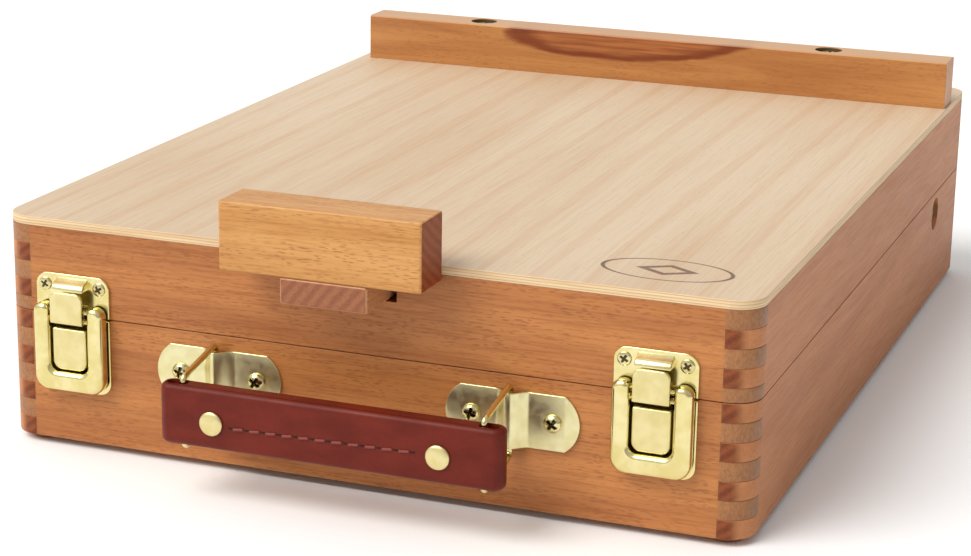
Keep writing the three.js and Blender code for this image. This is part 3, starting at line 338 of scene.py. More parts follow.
def veneer(tree):
    """Cream veneer with cathedral lines some 60 mm wide running front to back, and fine pores."""
    bands = clouds(tree, (55, 320, 55), 2.0, 0.5, 0.4, (0.3, 0.7))
    colour = node(tree, MIX, {0: bands, 6: linear("#d2bca0"), 7: linear("#caaf8f")}, 2, **TINT)
    wave = node(tree, WAVE, {"Vector": in_sizes(tree, (62, 900, 62)), "Scale": 1.0,
                             "Distortion": 5.5, "Detail": 2.0, "Detail Scale": 0.9,
                             "Detail Roughness": 0.5}, "Fac",
                wave_type="BANDS", bands_direction="X", wave_profile="SIN")
    lines = node(tree, RANGE, {0: wave, 1: 0.72, 2: 1.0, 4: 0.26}, **SMOOTH)
    colour = node(tree, MIX, {0: lines, 6: colour, 7: linear("#c3986f")}, 2, **TINT)
    fibre = clouds(tree, (0.8, 36, 0.8), 3.0, 0.6)
    streaks = node(tree, RANGE, {0: fibre, 1: 0.42, 2: 0.72, 4: 0.16}, **SMOOTH)
    colour = node(tree, MIX, {0: streaks, 6: colour, 7: linear("#cfae8e")}, 2, **STAIN)
    cells = node(tree, CELLS, {"Vector": in_sizes(tree, (1.5, 11, 1.5)), "Scale": 1.0},
                 "Distance", feature="F1")
    pores = node(tree, RANGE, {0: cells, 1: 0.26, 2: 0.10, 4: 0.22}, **SMOOTH)
    colour = node(tree, MIX, {0: pores, 6: colour, 7: linear("#b98a66")}, 2, **TINT)
    mark = burned_mark(tree, (110.3, FACE_Y + 28.0), (24.5, 13.4))
    colour = node(tree, MIX, {0: mark, 6: colour, 7: linear("#5a3a2a")}, 2, **TINT)
    return {"Base Color": colour, "Specular IOR Level": 0.35,
            "Roughness": node(tree, RANGE, {0: fibre, 1: 0.3, 2: 0.7, 3: 0.44, 4: 0.56},
                              **SMOOTH),
            "Normal": node(tree, BUMP, {"Height": fibre, "Distance": 0.08 * MM,
                                        "Strength": 0.2})}


def plies(tree):
    """Plywood edge-on: pale plies with thin darker glue lines, about one in a millimetre."""
    wave = node(tree, WAVE, {"Vector": in_sizes(tree, (90, 90, 3.6)), "Scale": 1.0,
                             "Distortion": 0.4}, "Fac",
                wave_type="BANDS", bands_direction="Z", wave_profile="SIN")
    glue = node(tree, RANGE, {0: wave, 1: 0.05, 2: 0.35}, **SMOOTH)
    colour = node(tree, MIX, {0: glue, 6: linear("#cda878"), 7: linear("#e2c9a2")}, 2, **TINT)
    streaks = clouds(tree, (30, 30, 0.8), 2.0, reach=(0.4, 0.7), share=(0.0, 0.3))
    colour = node(tree, MIX, {0: streaks, 6: colour, 7: linear("#caa27a")}, 2, **STAIN)
    return {"Base Color": colour, "Roughness": 0.55, "Specular IOR Level": 0.3}


# ---- Metal, leather and the rest ----

def polished(tree, colour, tarnish, rough, dents=0.02):
    """Brass: pale gold clouded by lacquer in patches of 7 mm, with dents of 3.5 mm.

    Its point attribute darkens it where a piece has one, for dirt and painted shade in recesses and
    where parts meet.
    """
    haze = clouds(tree, (7, 7, 7), 2.0, reach=(0.3, 0.7))
    tone = node(tree, MIX, {0: haze, 6: linear(colour), 7: linear(tarnish)}, 2, **TINT)
    dirt_and_shade = node(tree, "ShaderNodeAttribute", output="Fac", attribute_name="dirt_and_shade")
    tone = node(tree, MIX, {0: dirt_and_shade, 6: tone, 7: linear("#2a1c0c")}, 2, **TINT)
    fine = clouds(tree, (3.5, 3.5, 3.5), 1.0)
    return {"Base Color": tone, "Metallic": 1.0,
            "Roughness": node(tree, RANGE, {0: fine, 1: 0.3, 2: 0.7, 3: rough * 0.88,
                                            4: rough * 1.14}, **SMOOTH),
            "Normal": node(tree, BUMP, {"Height": fine, "Distance": dents * MM,
                                        "Strength": 0.1})}


def waxed_hide(tree):
    """Red-brown hide, clouded in patches of 18 mm, with a pebble grain of 0.9 mm."""
    cloud = clouds(tree, (18, 18, 8), 2.0)
    patches = node(tree, RANGE, {0: cloud, 1: 0.3, 2: 0.7}, **SMOOTH)
    tone = node(tree, MIX, {0: patches, 6: linear("#6f2010"), 7: linear("#60190b")}, 2, **TINT)
    pebble = node(tree, CELLS, {"Vector": in_sizes(tree, (0.9, 0.9, 0.9)), "Scale": 1.0},
                  "Distance", feature="F1")
    hollows = node(tree, RANGE, {0: pebble, 1: 0.3, 2: 0.7, 4: 0.2}, **SMOOTH)
    tone = node(tree, MIX, {0: hollows, 6: tone, 7: linear("#521407")}, 2, **TINT)
    return {"Base Color": tone, "Specular IOR Level": 0.22,
            "Roughness": node(tree, RANGE, {0: cloud, 1: 0.3, 2: 0.7, 3: 0.38, 4: 0.5},
                              **SMOOTH),
            "Normal": node(tree, BUMP, {"Height": pebble, "Distance": 0.06 * MM,
                                        "Strength": 0.25})}


def mottled(tree, colour, second, rough, grain=1.5):
    """A dull surface with a two-tone mottle of one grain size in millimetres."""
    mottle = clouds(tree, (grain, grain, grain))
    share = node(tree, RANGE, {0: mottle, 1: 0.3, 2: 0.7}, **SMOOTH)
    tone = node(tree, MIX, {0: share, 6: linear(colour), 7: linear(second)}, 2, **TINT)
    return {"Base Color": tone, "Roughness": rough,
            "Normal": node(tree, BUMP, {"Height": mottle, "Distance": 0.05 * MM,
                                        "Strength": 0.3})}


# Steamed beech under satin varnish: warm orange-brown with short dark flecks and a soft sheen.
BEECH_X = material_of("steamed beech, grain left to right", beech, 0, "#be7c42", "#ab6a36",
                      "#7d431e", ("#9a6c48", "#8c5e3b"), jointed=True, streak=0.4)
# The sides are planed from calmer boards: few flecks and nearly matt. Their greyer, pinker tone is
# painted light: a copy of the front's beech toned for the cooler light on the side faces.
BEECH_Y = material_of("steamed beech, grain front to back", beech, 1, "#c08155", "#b4764b",
                      "#9a603d", ("#8a4a29", "#743a20"), jointed=True, rough=0.5, gloss=0.22,
                      streak=0.15, flecks=0.3)
# Unsteamed beech for block, mast and fittings: yellower, with redder end grain.
PALE_X = material_of("beech, grain left to right", beech, 0, "#cf9858", "#c08746", "#94602b",
                     ("#984b28", "#86391c"), streak=0.42, flecks=0.7)
PALE_Y = material_of("beech, grain front to back", beech, 1, "#cf9a6c", "#bc8358", "#8f5c38",
                     ("#9c613f", "#8d5335"), lean=50.0)
# Beech cut through the heart: a red-brown boat shape shows on the ledge's face.
LEDGE_WOOD = material_of("beech with heartwood", ledge_beech)
# Birch plywood, sanded and hardly varnished: pale, even and matt, plies showing at the edge.
PLY_FACE = material_of("birch plywood, sanded face", veneer)
PLY_EDGE = material_of("birch plywood, edge", plies)
# Lacquered brass, pressed and polished: pale gold with blurred bright reflections.
BRASS = material_of("polished brass", polished, "#ece0a8", "#dfd08c", 0.2)
# Strip rolled and bent cold: paler, smoother and duller than the latches.
BRASS_BENT = material_of("rolled brass strip", polished, "#e9e2b2", "#e0d6a0", 0.34, 0.004)
# Brushed after pressing: pads, tongues and rivets spread the light evenly.
BRASS_SATIN = material_of("satin brass", polished, "#e9dca4", "#dfd092", 0.36)
# Turned screw heads: bright, their cross slots darkened by dirt and painted shade.
BRASS_SCREW = material_of("brass screw", polished, "#e6dcaa", "#cfc088", 0.2)
# Screws deep in the ledge's counterbores: dull brass, darkened to olive-brown as painted shade of
# the bores.
BRASS_IN_SHADE = material_of("brass darkened as painted shade", polished, "#9a8a58", "#6f6240", 0.42)
# Painted shade: near-black brass sheets round the latch's pad and between its tongue and pad, where
# the recess lies in shade.
BRASS_PAINTED_SHADE = material_of("painted shade in the latch's recess", polished, "#3a2c14",
                          "#2a1e0c", 0.6)
# Vegetable-tanned hide, waxed: deep red-brown with a low sheen.
LEATHER = material_of("waxed leather", waxed_hide)
# Waxed linen thread, a little lighter than the hide; each needle hole is painted shade, a
# near-black rod sunk in the hide.
THREAD = material_of("waxed thread", mottled, "#85382a", "#6d2a1c", 0.6, 0.4)
HOLE_SHADE = material_of("needle hole", mottled, "#2a0c08", "#1c0806", 0.9)
# Moulded rubber, brown and dull.
RUBBER = material_of("brown foot", mottled, "#9a5f3c", "#7d4a2c", 0.6)

# ---- Surfaces: each is (points, quads, fills, darkening by dirt and painted shade) ----


def skin(rings, caps=True, dirt_and_shade=None):
    """Rings of equal length: point (i, j) is joined to (i, j + 1), (i + 1, j + 1), (i + 1, j).

    The end rings are filled unless caps is false.
    """
    rings = np.asarray(rings, float)
    count, size = rings.shape[:2]
    index = np.arange(count * size).reshape(count, size)
    ahead = np.roll(index, -1, 1)
    quads = np.stack([index[:-1], ahead[:-1], ahead[1:], index[1:]], -1).reshape(-1, 4)
    fills = [index[0, ::-1], index[-1]] if caps else []
    points = rings.reshape(-1, 3)
    return points, quads, fills, np.zeros(len(points)) if dirt_and_shade is None else dirt_and_shade


def together(*surfaces):
    """Several surfaces as one."""
    starts = np.cumsum([0] + [len(surface[0]) for surface in surfaces[:-1]])
    return (np.vstack([surface[0] for surface in surfaces]),
            np.vstack([surface[1] + start for surface, start in zip(surfaces, starts)]),
            [fill + start for surface, start in zip(surfaces, starts) for fill in surface[2]],
            np.concatenate([surface[3] for surface in surfaces]))


def mesh_of(name, surface, open_tubes=False):
    """A surface as a mesh, its doubled points merged and its faces turned outwards.

    Open tubes are closed at both ends by flat triangles between their rims.
    """
    points, quads, fills, dirt_and_shade = surface
    mesh = bpy.data.meshes.new(name)
    mesh.from_pydata((points * MM).tolist(), [], quads.tolist() + [f.tolist() for f in fills])
    layer = mesh.attributes.new("dirt_and_shade", "FLOAT", "POINT")
    layer.data.foreach_set("value", np.asarray(dirt_and_shade, np.float32))
    work = bmesh.new()
    work.from_mesh(mesh)
    if open_tubes:
        half_way = points[:, 2].mean() * MM
        rims = [edge for edge in work.edges if edge.is_boundary]
        for above in (True, False):
            rim = [edge for edge in rims if (edge.verts[0].co.z > half_way) == above]
            bmesh.ops.triangle_fill(work, use_beauty=True, edges=rim)
    bmesh.ops.remove_doubles(work, verts=work.verts, dist=2e-6)
    bmesh.ops.recalc_face_normals(work, faces=work.faces)
    work.to_mesh(mesh)
    work.free()
    return mesh


def finished(mesh, material, body, stands_for=()):
    """The object of a mesh, named as the mesh and riding on its body."""
    made = bpy.data.objects.new(mesh.name, mesh)
    bpy.context.scene.collection.objects.link(made)
    mesh.materials.clear()
    mesh.materials.append(material)
    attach(made, body)
    if stands_for:
        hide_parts(*stands_for)
    return made


def piece(name, surface, material, body, slot, stands_for=(), sharp=35.0, **more):
    """A surface as an object: smooth, but for edges sharper than an angle in degrees."""
    mesh = mesh_of(name, surface, **more)
    mesh.shade_smooth()
    mesh.set_sharp_from_angle(angle=math.radians(sharp))
    return finished(mesh, material, body, stands_for)


def body_of_node(name):
    """The body that a CAD node belongs to."""
    bodies = frame["record"]["behaviour"]["bodies"]
    return next(body for body, nodes in bodies.items() if name in nodes)


def eased(name, material, width=0.3):
    """A CAD node's shape with merged faces and edges rounded by a width, standing for it.

    Faces over 60 square millimetres stay flat-shaded, and those of the roundings are smooth.
    """
    broad = 60 * MM * MM
    mesh = frame["nodes"][name].data.copy()
    mesh.name = name + "_eased"
    work = bmesh.new()
    work.from_mesh(mesh)
    bmesh.ops.remove_doubles(work, verts=work.verts, dist=2e-6)
    bmesh.ops.dissolve_limit(work, angle_limit=math.radians(0.8),
                             verts=work.verts, edges=work.edges)
    bmesh.ops.recalc_face_normals(work, faces=work.faces)
    corners = [edge for edge in work.edges
               if edge.is_manifold and edge.calc_face_angle() > math.radians(35)]
    bmesh.ops.bevel(work, geom=corners, offset=width * MM, offset_type="OFFSET", segments=2,
                    profile=0.5, affect="EDGES", clamp_overlap=True)
    for face in work.faces:
        face.smooth = face.calc_area() < broad
    work.to_mesh(mesh)
    work.free()
    return finished(mesh, material, body_of_node(name), (name,))


def arc(x, z, radius, start, end, steps=8):
    """(x + r cos a, z + r sin a) for angles from start to end in degrees."""
    angles = np.radians(np.linspace(start, end, steps + 1))
    return np.column_stack([x + radius * np.cos(angles), z + radius * np.sin(angles)])


def rounded(x0, x1, z0, z1, low_r, high_r, steps=8):
    """Anticlockwise rectangle with one radius for its lower and one for its upper corners."""
    return np.vstack([
        arc(x1 - low_r, z0 + low_r, low_r, -90, 0, steps),
        arc(x1 - high_r, z1 - high_r, high_r, 0, 90, steps),
        arc(x0 + high_r, z1 - high_r, high_r, 90, 180, steps),
        arc(x0 + low_r, z0 + low_r, low_r, 180, 270, steps)])


def mitres(outline):
    """How each point of an anticlockwise outline moves for each millimetre of inset.

    It is the sum of the inward normals of the sides before and after it, over one plus their
    dot product, so that both sides move inwards by the same distance.
    """
    side = np.roll(outline, -1, 0) - outline
    length = np.maximum(np.linalg.norm(side, axis=1, keepdims=True), 1e-9)
    inward = np.column_stack([-side[:, 1], side[:, 0]]) / length
    before = np.roll(inward, 1, 0)
    return (inward + before) / np.maximum(1 + (inward * before).sum(1, keepdims=True), 0.3)


def rounding(start, end, radius, steps=6):
    """Insets and levels: straight from start towards end, then a quarter round to it."""
    turn = np.radians(np.linspace(0, 90, steps + 1))
    insets = np.append(0.0, radius * (1 - np.cos(turn)))
    levels = np.append(start, end - np.sign(end - start) * radius * (1 - np.sin(turn)))
    return insets, levels


def both_ways(insets, levels):
    """Insets and levels carried on from their mirror image about the first level."""
    return (np.append(insets[::-1], insets[1:]),
            np.append(2 * levels[0] - levels[::-1], levels[1:]))


def carried(outline, insets, levels):
    """For each ring i and point j: outline j + inset i * mitre j, and level i."""
    flat = outline + insets[:, None, None] * mitres(outline)
    level = np.broadcast_to(levels[:, None], flat.shape[:2])
    return flat[..., 0], flat[..., 1], level


def front_plate(outline, back, front, radius=0.4, steps=6):
    """An (x, z) outline carried from y = back to y = front, its front edge rounded."""
    x, z, y = carried(outline, *rounding(back, front, radius, steps))
    return skin(np.stack([x, y, z], -1))


def side_bar(outline, x0, x1, radius=0.3):
    """A (y, z) outline carried along x, with both ends rounded."""
    y, z, x = carried(outline, *both_ways(*rounding((x0 + x1) / 2, x1, radius, 4)))
    return skin(np.stack([x, y, z], -1))


def turned(profile, centre, axis, steps=40):
    """A profile turned about an axis: centre + r (u cos a + v sin a) + h axis."""
    axis = Vector(axis).normalized()
    across = Vector((1, 0, 0)) if abs(axis.x) < 0.9 else Vector((0, 1, 0))
    u = np.array(axis.cross(across).normalized())
    axis = np.array(axis)
    v = np.cross(axis, u)
    angles = np.linspace(0, 2 * np.pi, steps, endpoint=False)
    circle = np.outer(np.cos(angles), u) + np.outer(np.sin(angles), v)
    radii, heights = np.array(profile, float).T[:, :, None, None]
    return skin(np.array(centre) + np.maximum(radii, 1e-4) * circle + heights * axis)


def rod(radius, start, end, steps=24, ease=0.2):
    """A round rod between two points, its ends eased by a small chamfer."""
    start, end = np.array(start, float), np.array(end, float)
    length = np.linalg.norm(end - start)
    profile = [(0, 0), (radius - ease, 0), (radius, ease), (radius, length - ease),
               (radius - ease, length), (0, length)]
    return turned(profile, start, end - start, steps)


def screw_head(centre, axis, radius, height, spin=0.0, rim=0.35):
    """A domed head: height * (rim + (1 - rim) sqrt(1 - (r / R)^2)), less a cross-shaped recess.

    An arm's half width is 0.19 of the radius and its half length 0.66; dirt and painted shade
    darken the recess, and less so the skirt where the head meets its seat.
    """
    turn = Vector(axis).to_track_quat("Z", "Y").to_matrix()
    radii = np.append(np.linspace(0, 0.98, 22), 1.0) * radius
    angles = np.linspace(0, 2 * np.pi, 72, endpoint=False)
    r, a = np.meshgrid(radii, angles, indexing="ij")
    x, y = r * np.cos(a + spin), r * np.sin(a + spin)
    low, high = np.minimum(abs(x), abs(y)), np.maximum(abs(x), abs(y))
    across = np.clip((0.19 * radius - low) / (0.10 * radius), 0, 1)
    along = np.clip((0.66 * radius - high) / (0.12 * radius), 0, 1)
    recess = np.minimum(across, along)
    dome = height * (rim + (1 - rim) * np.sqrt(np.maximum(0, 1 - (r / radius) ** 2)))
    top = np.stack([r * np.cos(a), r * np.sin(a), dome - recess * height * 0.55], -1)
    skirt = top[-1:].copy()
    skirt[..., 2] = -0.05
    rings = np.concatenate([top, skirt]) @ np.array(turn).T + np.array(centre)
    # Dirt and painted shade: 0.92 in the cross recess, 0.4 on the skirt where the head meets its
    # seat.
    dirt_and_shade = np.append(recess.ravel() * 0.92, np.full(len(angles), 0.4))
    return skin(rings, dirt_and_shade=dirt_and_shade)


# ---- Wooden pieces: the CAD shapes with eased edges ----

def make_woodwork():
    """Boards, panels, ledge, mast, block, guides and dividers."""
    for board in ("case_front", "case_back", "lid_front", "lid_back"):
        eased(board, BEECH_X, 0.22)
    for board in ("case_left", "case_right", "lid_left", "lid_right"):
        eased(board, BEECH_Y, 0.22)
    eased("canvas_ledge", LEDGE_WOOD, 0.5)
    eased("clamp_block", PALE_X, 0.4)
    eased("mast", PALE_Y, 0.3)
    for name in ("divider_long", "mast_guide_front", "mast_guide_rear"):
        eased(name, PALE_Y)
    eased("divider_short", PALE_X)
    for name, face_material in (("lid_panel", PLY_FACE), ("case_bottom", PLY_EDGE)):
        sheet = eased(name, face_material, 0.35)
        sheet.data.materials.append(PLY_EDGE)
        for face in sheet.data.polygons:
            face.material_index = int(abs(face.normal.z) < 0.5)


# ---- Latches ----

LEVER_ARM, LEVER_BAR = 7.0, 8.1  # width of an arm, height of the bar that joins the arms
PIN_R, BARREL_R = 0.7, 1.5
PLATE_T = 1.2
PIN_OUT, PIN_UP = 4.2, 2.9  # upper pin: out from the box's front, and above the seam
ROLL_DROP = 3.8  # tongue's roll below the upper pin
BARREL_HALF = 5.6
NOSE_HALF = 6.9
PAD_HALF, PAD_LOW, PAD_HIGH = 7.4, -21.2, -4.2  # levels from the seam
RECESS_HALF, RECESS_LOW, RECESS_HIGH = 8.3, -22.4, -3.4


def lever_outline(half, low, high):
    """Anticlockwise U: two arms on a bar, rounded at every corner."""
    outer_r, inner_r, tip_r, tip_in = 6.0, 3.2, 3.8, 2.6
    inner, floor = half - LEVER_ARM, low + LEVER_BAR
    return np.vstack([
        arc(-half + outer_r, low + outer_r, outer_r, 180, 270, 12),
        arc(half - outer_r, low + outer_r, outer_r, 270, 360, 12),
        arc(half - tip_r, high - tip_r, tip_r, 0, 90, 10),
        arc(inner + tip_in, high - tip_in, tip_in, 90, 180, 6),
        arc(inner - inner_r, floor + inner_r, inner_r, 0, -90, 10),
        arc(-inner + inner_r, floor + inner_r, inner_r, -90, -180, 10),
        arc(-inner - tip_in, high - tip_in, tip_in, 0, 90, 6),
        arc(-half + tip_r, high - tip_r, tip_r, 90, 180, 10)])


def make_catch(side, x):
    """Catch plate on the lid: a rounded plate, its bent nose and two cross-head screws."""
    low, high = span("catch_plate_" + side)
    plate = front_plate(rounded(low[0], high[0], low[2], high[2], 0.5, 5.0),
                        FACE_Y, FACE_Y - PLATE_T, 0.45)
    foot_z = span("latch_tongue_" + side)[1][2] + 0.4
    out = FACE_Y - low[1]
    nose = np.array([(-0.6, high[2] - 0.6), (-out * 0.35, foot_z + 3.4),
                     (-out * 0.62, foot_z + 2.9), (-out * 0.86, foot_z + 2.1),
                     (-out, foot_z + 0.9), (-out, foot_z), (-0.6, foot_z)])
    nose[:, 0] += FACE_Y
    piece("catch_plate_" + side + "_brass",
          together(plate, side_bar(nose, x - NOSE_HALF, x + NOSE_HALF, 0.5)),
          BRASS, "lid", "polished_brass", ("catch_plate_" + side,))
    for i in (1, 2):
        screw = "catch_screw_%s_%d" % (side, i)
        at = middle(screw)
        piece(screw + "_head",
              screw_head((at[0], FACE_Y - PLATE_T, at[2]), (0, -1, 0), 2.7, 0.95, 0.5 * i),
              BRASS_SCREW, "lid", "polished_brass", (screw,))


def make_latch_base(side, x, pin_y, pin_z):
    """Base plate on the case with the neck and barrel for the lever, its pad, and near-black sheets
    of painted shade round the pad and behind the tongue.
    """
    low, high = span("latch_base_" + side)
    base = front_plate(rounded(low[0], high[0], low[2], SEAM_Z - 0.4, 5.0, 0.5),
                       FACE_Y, FACE_Y - PLATE_T, 0.45)
    neck = np.array([(-1.7, SEAM_Z - 8), (-1.7, pin_z + 0.9), (-PIN_OUT, pin_z + 0.9),
                     (-PIN_OUT, pin_z - 0.9), (-2.6, pin_z - 0.9), (-2.6, SEAM_Z - 8)])
    neck[:, 0] += FACE_Y
    ends = (x - BARREL_HALF, x + BARREL_HALF)
    barrel = rod(BARREL_R, (ends[0], pin_y, pin_z), (ends[1], pin_y, pin_z))
    piece("latch_base_" + side + "_brass", together(base, side_bar(neck, *ends, 0.2), barrel),
          BRASS, "case", "polished_brass", ("latch_base_" + side,))
    pad = front_plate(rounded(x - PAD_HALF, x + PAD_HALF, SEAM_Z + PAD_LOW, SEAM_Z + PAD_HIGH,
                              3.6, 0.9), FACE_Y - PLATE_T, low[1] + 0.7, 0.9)
    piece("latch_pad_" + side, pad, BRASS_SATIN, "case", "polished_brass")
    # Painted shade: near-black sheets round the pad and between the tongue and the pad.
    around = front_plate(rounded(x - RECESS_HALF, x + RECESS_HALF, SEAM_Z + RECESS_LOW,
                                 SEAM_Z + RECESS_HIGH, 4.2, 0.9),
                         FACE_Y - PLATE_T + 0.2, FACE_Y - PLATE_T - 0.12, 0.05)
    between = front_plate(rounded(x - 7.2, x + 7.2, SEAM_Z - 6.5, SEAM_Z - 2.6, 0.3, 0.3),
                          FACE_Y - 2.4, FACE_Y - 2.75, 0.05)
    piece("latch_painted_shade_" + side, together(around, between), BRASS_PAINTED_SHADE, "case",
          "polished_brass")


def make_lever(side, x, pin_y, pin_z):
    """U-shaped lever with its two pins, and the tongue that hangs on the lower one."""
    roll_z = pin_z - ROLL_DROP
    low, high = span("latch_lever_" + side)
    outline = lever_outline((high[0] - low[0]) / 2, low[2], high[2])
    outline[:, 0] += x
    bow = front_plate(outline, high[1] - 0.05, low[1], 2.2, 10)
    pins = [rod(PIN_R, (x - 9.0, pin_y, z), (x + 9.0, pin_y, z), 16) for z in (pin_z, roll_z)]
    piece("latch_lever_" + side + "_brass", together(bow, *pins), BRASS,
          "lever_" + side, "polished_brass", ("latch_lever_" + side,), 50.0)

    low, high = span("latch_tongue_" + side)
    half = (high[0] - low[0]) / 2
    tongue = front_plate(rounded(x - half, x + half, low[2] + 0.3, high[2], 0.6, 2.9),
                         low[1] + 1.1, low[1], 0.45)
    roll = rod(1.25, (x - half, pin_y, roll_z), (x + half, pin_y, roll_z))
    web = side_bar(np.array([(low[1] + 0.6, roll_z - 1.0), (pin_y, roll_z - 1.0),
                             (pin_y, roll_z + 1.0), (low[1] + 0.6, roll_z + 1.0)]),
                   x - half + 0.1, x + half - 0.1, 0.2)
    piece("latch_tongue_" + side + "_brass", together(tongue, roll, web), BRASS_SATIN,
          "tongue_" + side, "polished_brass", ("latch_tongue_" + side,))


def make_latch(side):
    """One toggle latch: catch plate, base plate, lever and tongue."""
    x = middle("catch_plate_" + side)[0]
    pin_y, pin_z = FACE_Y - PIN_OUT, SEAM_Z + PIN_UP
    make_catch(side, x)
    make_latch_base(side, x, pin_y, pin_z)
    make_lever(side, x, pin_y, pin_z)


# ---- Handle ----

RIDGE_HALF = 6.8
STRIP_T = 1.1
RING_BEND_R = 2.2
LEVEL_RUN = 11.0  # the lower arm runs level this far, so that it clears the swinging grip
GRIP_EDGE_R = 2.1
STITCHES = 11


def bracket_surface(x, z, half, height, reach):
    """A bent strip: at each s along it, a thin rectangle with quarter-round corners.

    Its front stands at thickness + rise (1 + cos(pi s / ridge)) / 2 off the board, and its half
    height is the lesser of the strip's and sqrt(R^2 - over^2), where over is how far s is past
    the centre of the end's arc.
    """
    end_r, edge = 13.0, 0.35
    s = half * np.sin(np.linspace(-np.pi / 2, np.pi / 2, 150))[:, None]
    over = np.maximum(abs(s) - (half - end_r), 0.0)
    tall = np.minimum(height / 2, np.sqrt(np.maximum(end_r ** 2 - over ** 2, 1e-6)))
    wave = (reach - STRIP_T) * (0.5 + 0.5 * np.cos(np.pi * s / RIDGE_HALF))
    lift = np.where(abs(s) < RIDGE_HALF, wave, 0.0)
    ease = np.minimum(edge, tall * 0.9)
    turn = (np.radians(np.linspace(0, 90, 5)) + np.arange(4)[:, None] * np.pi / 2).ravel()
    in_front = np.repeat([True, False, False, True], 5)
    upper = np.repeat([1, 1, -1, -1], 5)
    depth = lift + np.where(in_front, STRIP_T - ease, ease)
    rings = [np.broadcast_to(x + s, depth.shape), FACE_Y - depth - ease * np.cos(turn),
             z + upper * (tall - ease) + ease * np.sin(turn)]
    return skin(np.stack(rings, -1))


def wire_path(corners, radius, steps=8):
    """A path through corners in the (y, z) plane with each corner replaced by an arc."""
    corners = np.array(corners, float)
    share = np.linspace(0, 1, steps + 1)[:, None]
    stretches = [corners[:1]]
    for before, at, after in zip(corners, corners[1:], corners[2:]):
        u = (before - at) / np.linalg.norm(before - at)
        v = (after - at) / np.linalg.norm(after - at)
        half = math.acos(np.clip(u @ v, -1, 1)) / 2
        centre = at + (u + v) / np.linalg.norm(u + v) * radius / math.sin(half)
        start, end = (at + side * radius / math.tan(half) - centre for side in (u, v))
        spokes = start * (1 - share) + end * share
        lengths = np.linalg.norm(spokes, axis=1, keepdims=True)
        stretches.append(centre + spokes / lengths * radius)
    return np.vstack(stretches + [corners[-1:]])


def wire(x, path, radius, steps=20):
    """A round wire along a (y, z) path at one x: path + r (x cos a + normal sin a)."""
    tangent = np.gradient(path, axis=0)
    tangent /= np.linalg.norm(tangent, axis=1, keepdims=True)
    angles = np.linspace(0, 2 * np.pi, steps, endpoint=False)
    y = path[:, :1] - tangent[:, 1:] * radius * np.sin(angles)
    z = path[:, 1:] + tangent[:, :1] * radius * np.sin(angles)
    return skin(np.stack([np.broadcast_to(x + radius * np.cos(angles), y.shape), y, z], -1))


def make_bracket(side):
    """Bent bracket with two round-headed screws; gives the middle of its strip as x and z."""
    low, high = span("handle_bracket_" + side)
    x, z = (low[0] + high[0]) / 2, (low[2] + high[2]) / 2
    strip = bracket_surface(x, z, (high[0] - low[0]) / 2, high[2] - low[2], FACE_Y - low[1])
    piece("handle_bracket_" + side + "_brass", strip, BRASS_BENT, "case", "polished_brass",
          ("handle_bracket_" + side,), 60.0)
    for i in (1, 2):
        screw = "bracket_screw_%s_%d" % (side, i)
        at = middle(screw)
        head = screw_head((at[0], FACE_Y - STRIP_T, at[2]), (0, -1, 0), 3.6, 2.4, 0.3 * i, 0.15)
        piece(screw + "_head", head, BRASS_SCREW, "case", "polished_brass", (screw,))
    return x, z


def make_ring(side, x, z):
    """Bent wire ring: inner bar in the bracket's ridge, outer bar lower, in the grip."""
    low, high = span("handle_ring_" + side)
    radius = (high[0] - low[0]) / 2
    inner, outer = high[1] - radius, low[1] + radius
    half, drop = high[2] - radius - z, z - middle("handle_grip")[2]
    corners = [(inner, z + 0.3), (inner, z + half), (outer, z + half - drop),
               (outer, z - half - drop), (outer + LEVEL_RUN, z - half - drop + 0.2),
               (inner, z - half), (inner, z - 0.3)]
    piece("handle_ring_" + side + "_brass", wire(x, wire_path(corners, RING_BEND_R), radius),
          BRASS, "ring_" + side, "polished_brass", ("handle_ring_" + side,), 60.0)


def make_grip():
    """A leather bar folded round the rings: long edges rounded, an eye for each ring."""
    low, high = span("handle_grip")
    x, y, z = (low + high) / 2
    half_l = high[0] - x
    insets, levels = both_ways(*rounding(z, high[2], GRIP_EDGE_R, 7))
    tubes = [carried(rounded(low[0], high[0], low[1], high[1], 3.9, 3.9, 10), insets, levels)]
    for side, sign in SIDES.items():
        ring_x = middle("handle_ring_" + side)[0]
        ends = sorted((ring_x - sign * 1.9, x + sign * (half_l - 2.1)))
        eye = rounded(*ends, y - 2.3, y + 2.3, 2.2, 2.2, 8)
        tubes.append(carried(eye, -np.maximum(0.0, insets - 1.3), levels))
    piece("handle_grip_leather",
          together(*(skin(np.stack(tube, -1), caps=False) for tube in tubes)),
          LEATHER, "grip", "leather", ("handle_grip",), 40.0, open_tubes=True)


def make_stitches():
    """A row of thread on both faces of the grip, each stitch ending at a needle hole painted as
    shade by a near-black rod.
    """
    low, high = span("handle_grip")
    left, right = (middle("rivet_" + side) for side in SIDES)
    share = np.linspace(0, 1, STITCHES + 1)
    xs = left[0] + 7.8 + share * (right[0] - 9.7 - left[0] - 7.8)
    zs = left[2] - 0.9 + 1.3 * share
    ends = list(zip(xs, zs))
    for face, name, out in ((low[1], "front", -1), (high[1], "back", 1)):
        y, deep = face + out * 0.12, face - out * 0.42
        threads = [rod(0.58, (a + 1.2, y, c - 0.15), (b - 1.2, y, d + 0.15), 12, 0.3)
                   for (a, c), (b, d) in zip(ends, ends[1:])]
        # Painted shade: a near-black rod for each needle hole.
        holes = [rod(0.62, (a - 1.0, deep, c + 0.1), (a + 1.0, deep, c + 0.1), 12, 0.3)
                 for a, c in ends]
        piece("grip_thread_" + name, together(*threads), THREAD, "grip", "leather")
        piece("grip_needle_hole_shade_" + name, together(*holes), HOLE_SHADE, "grip", "leather")


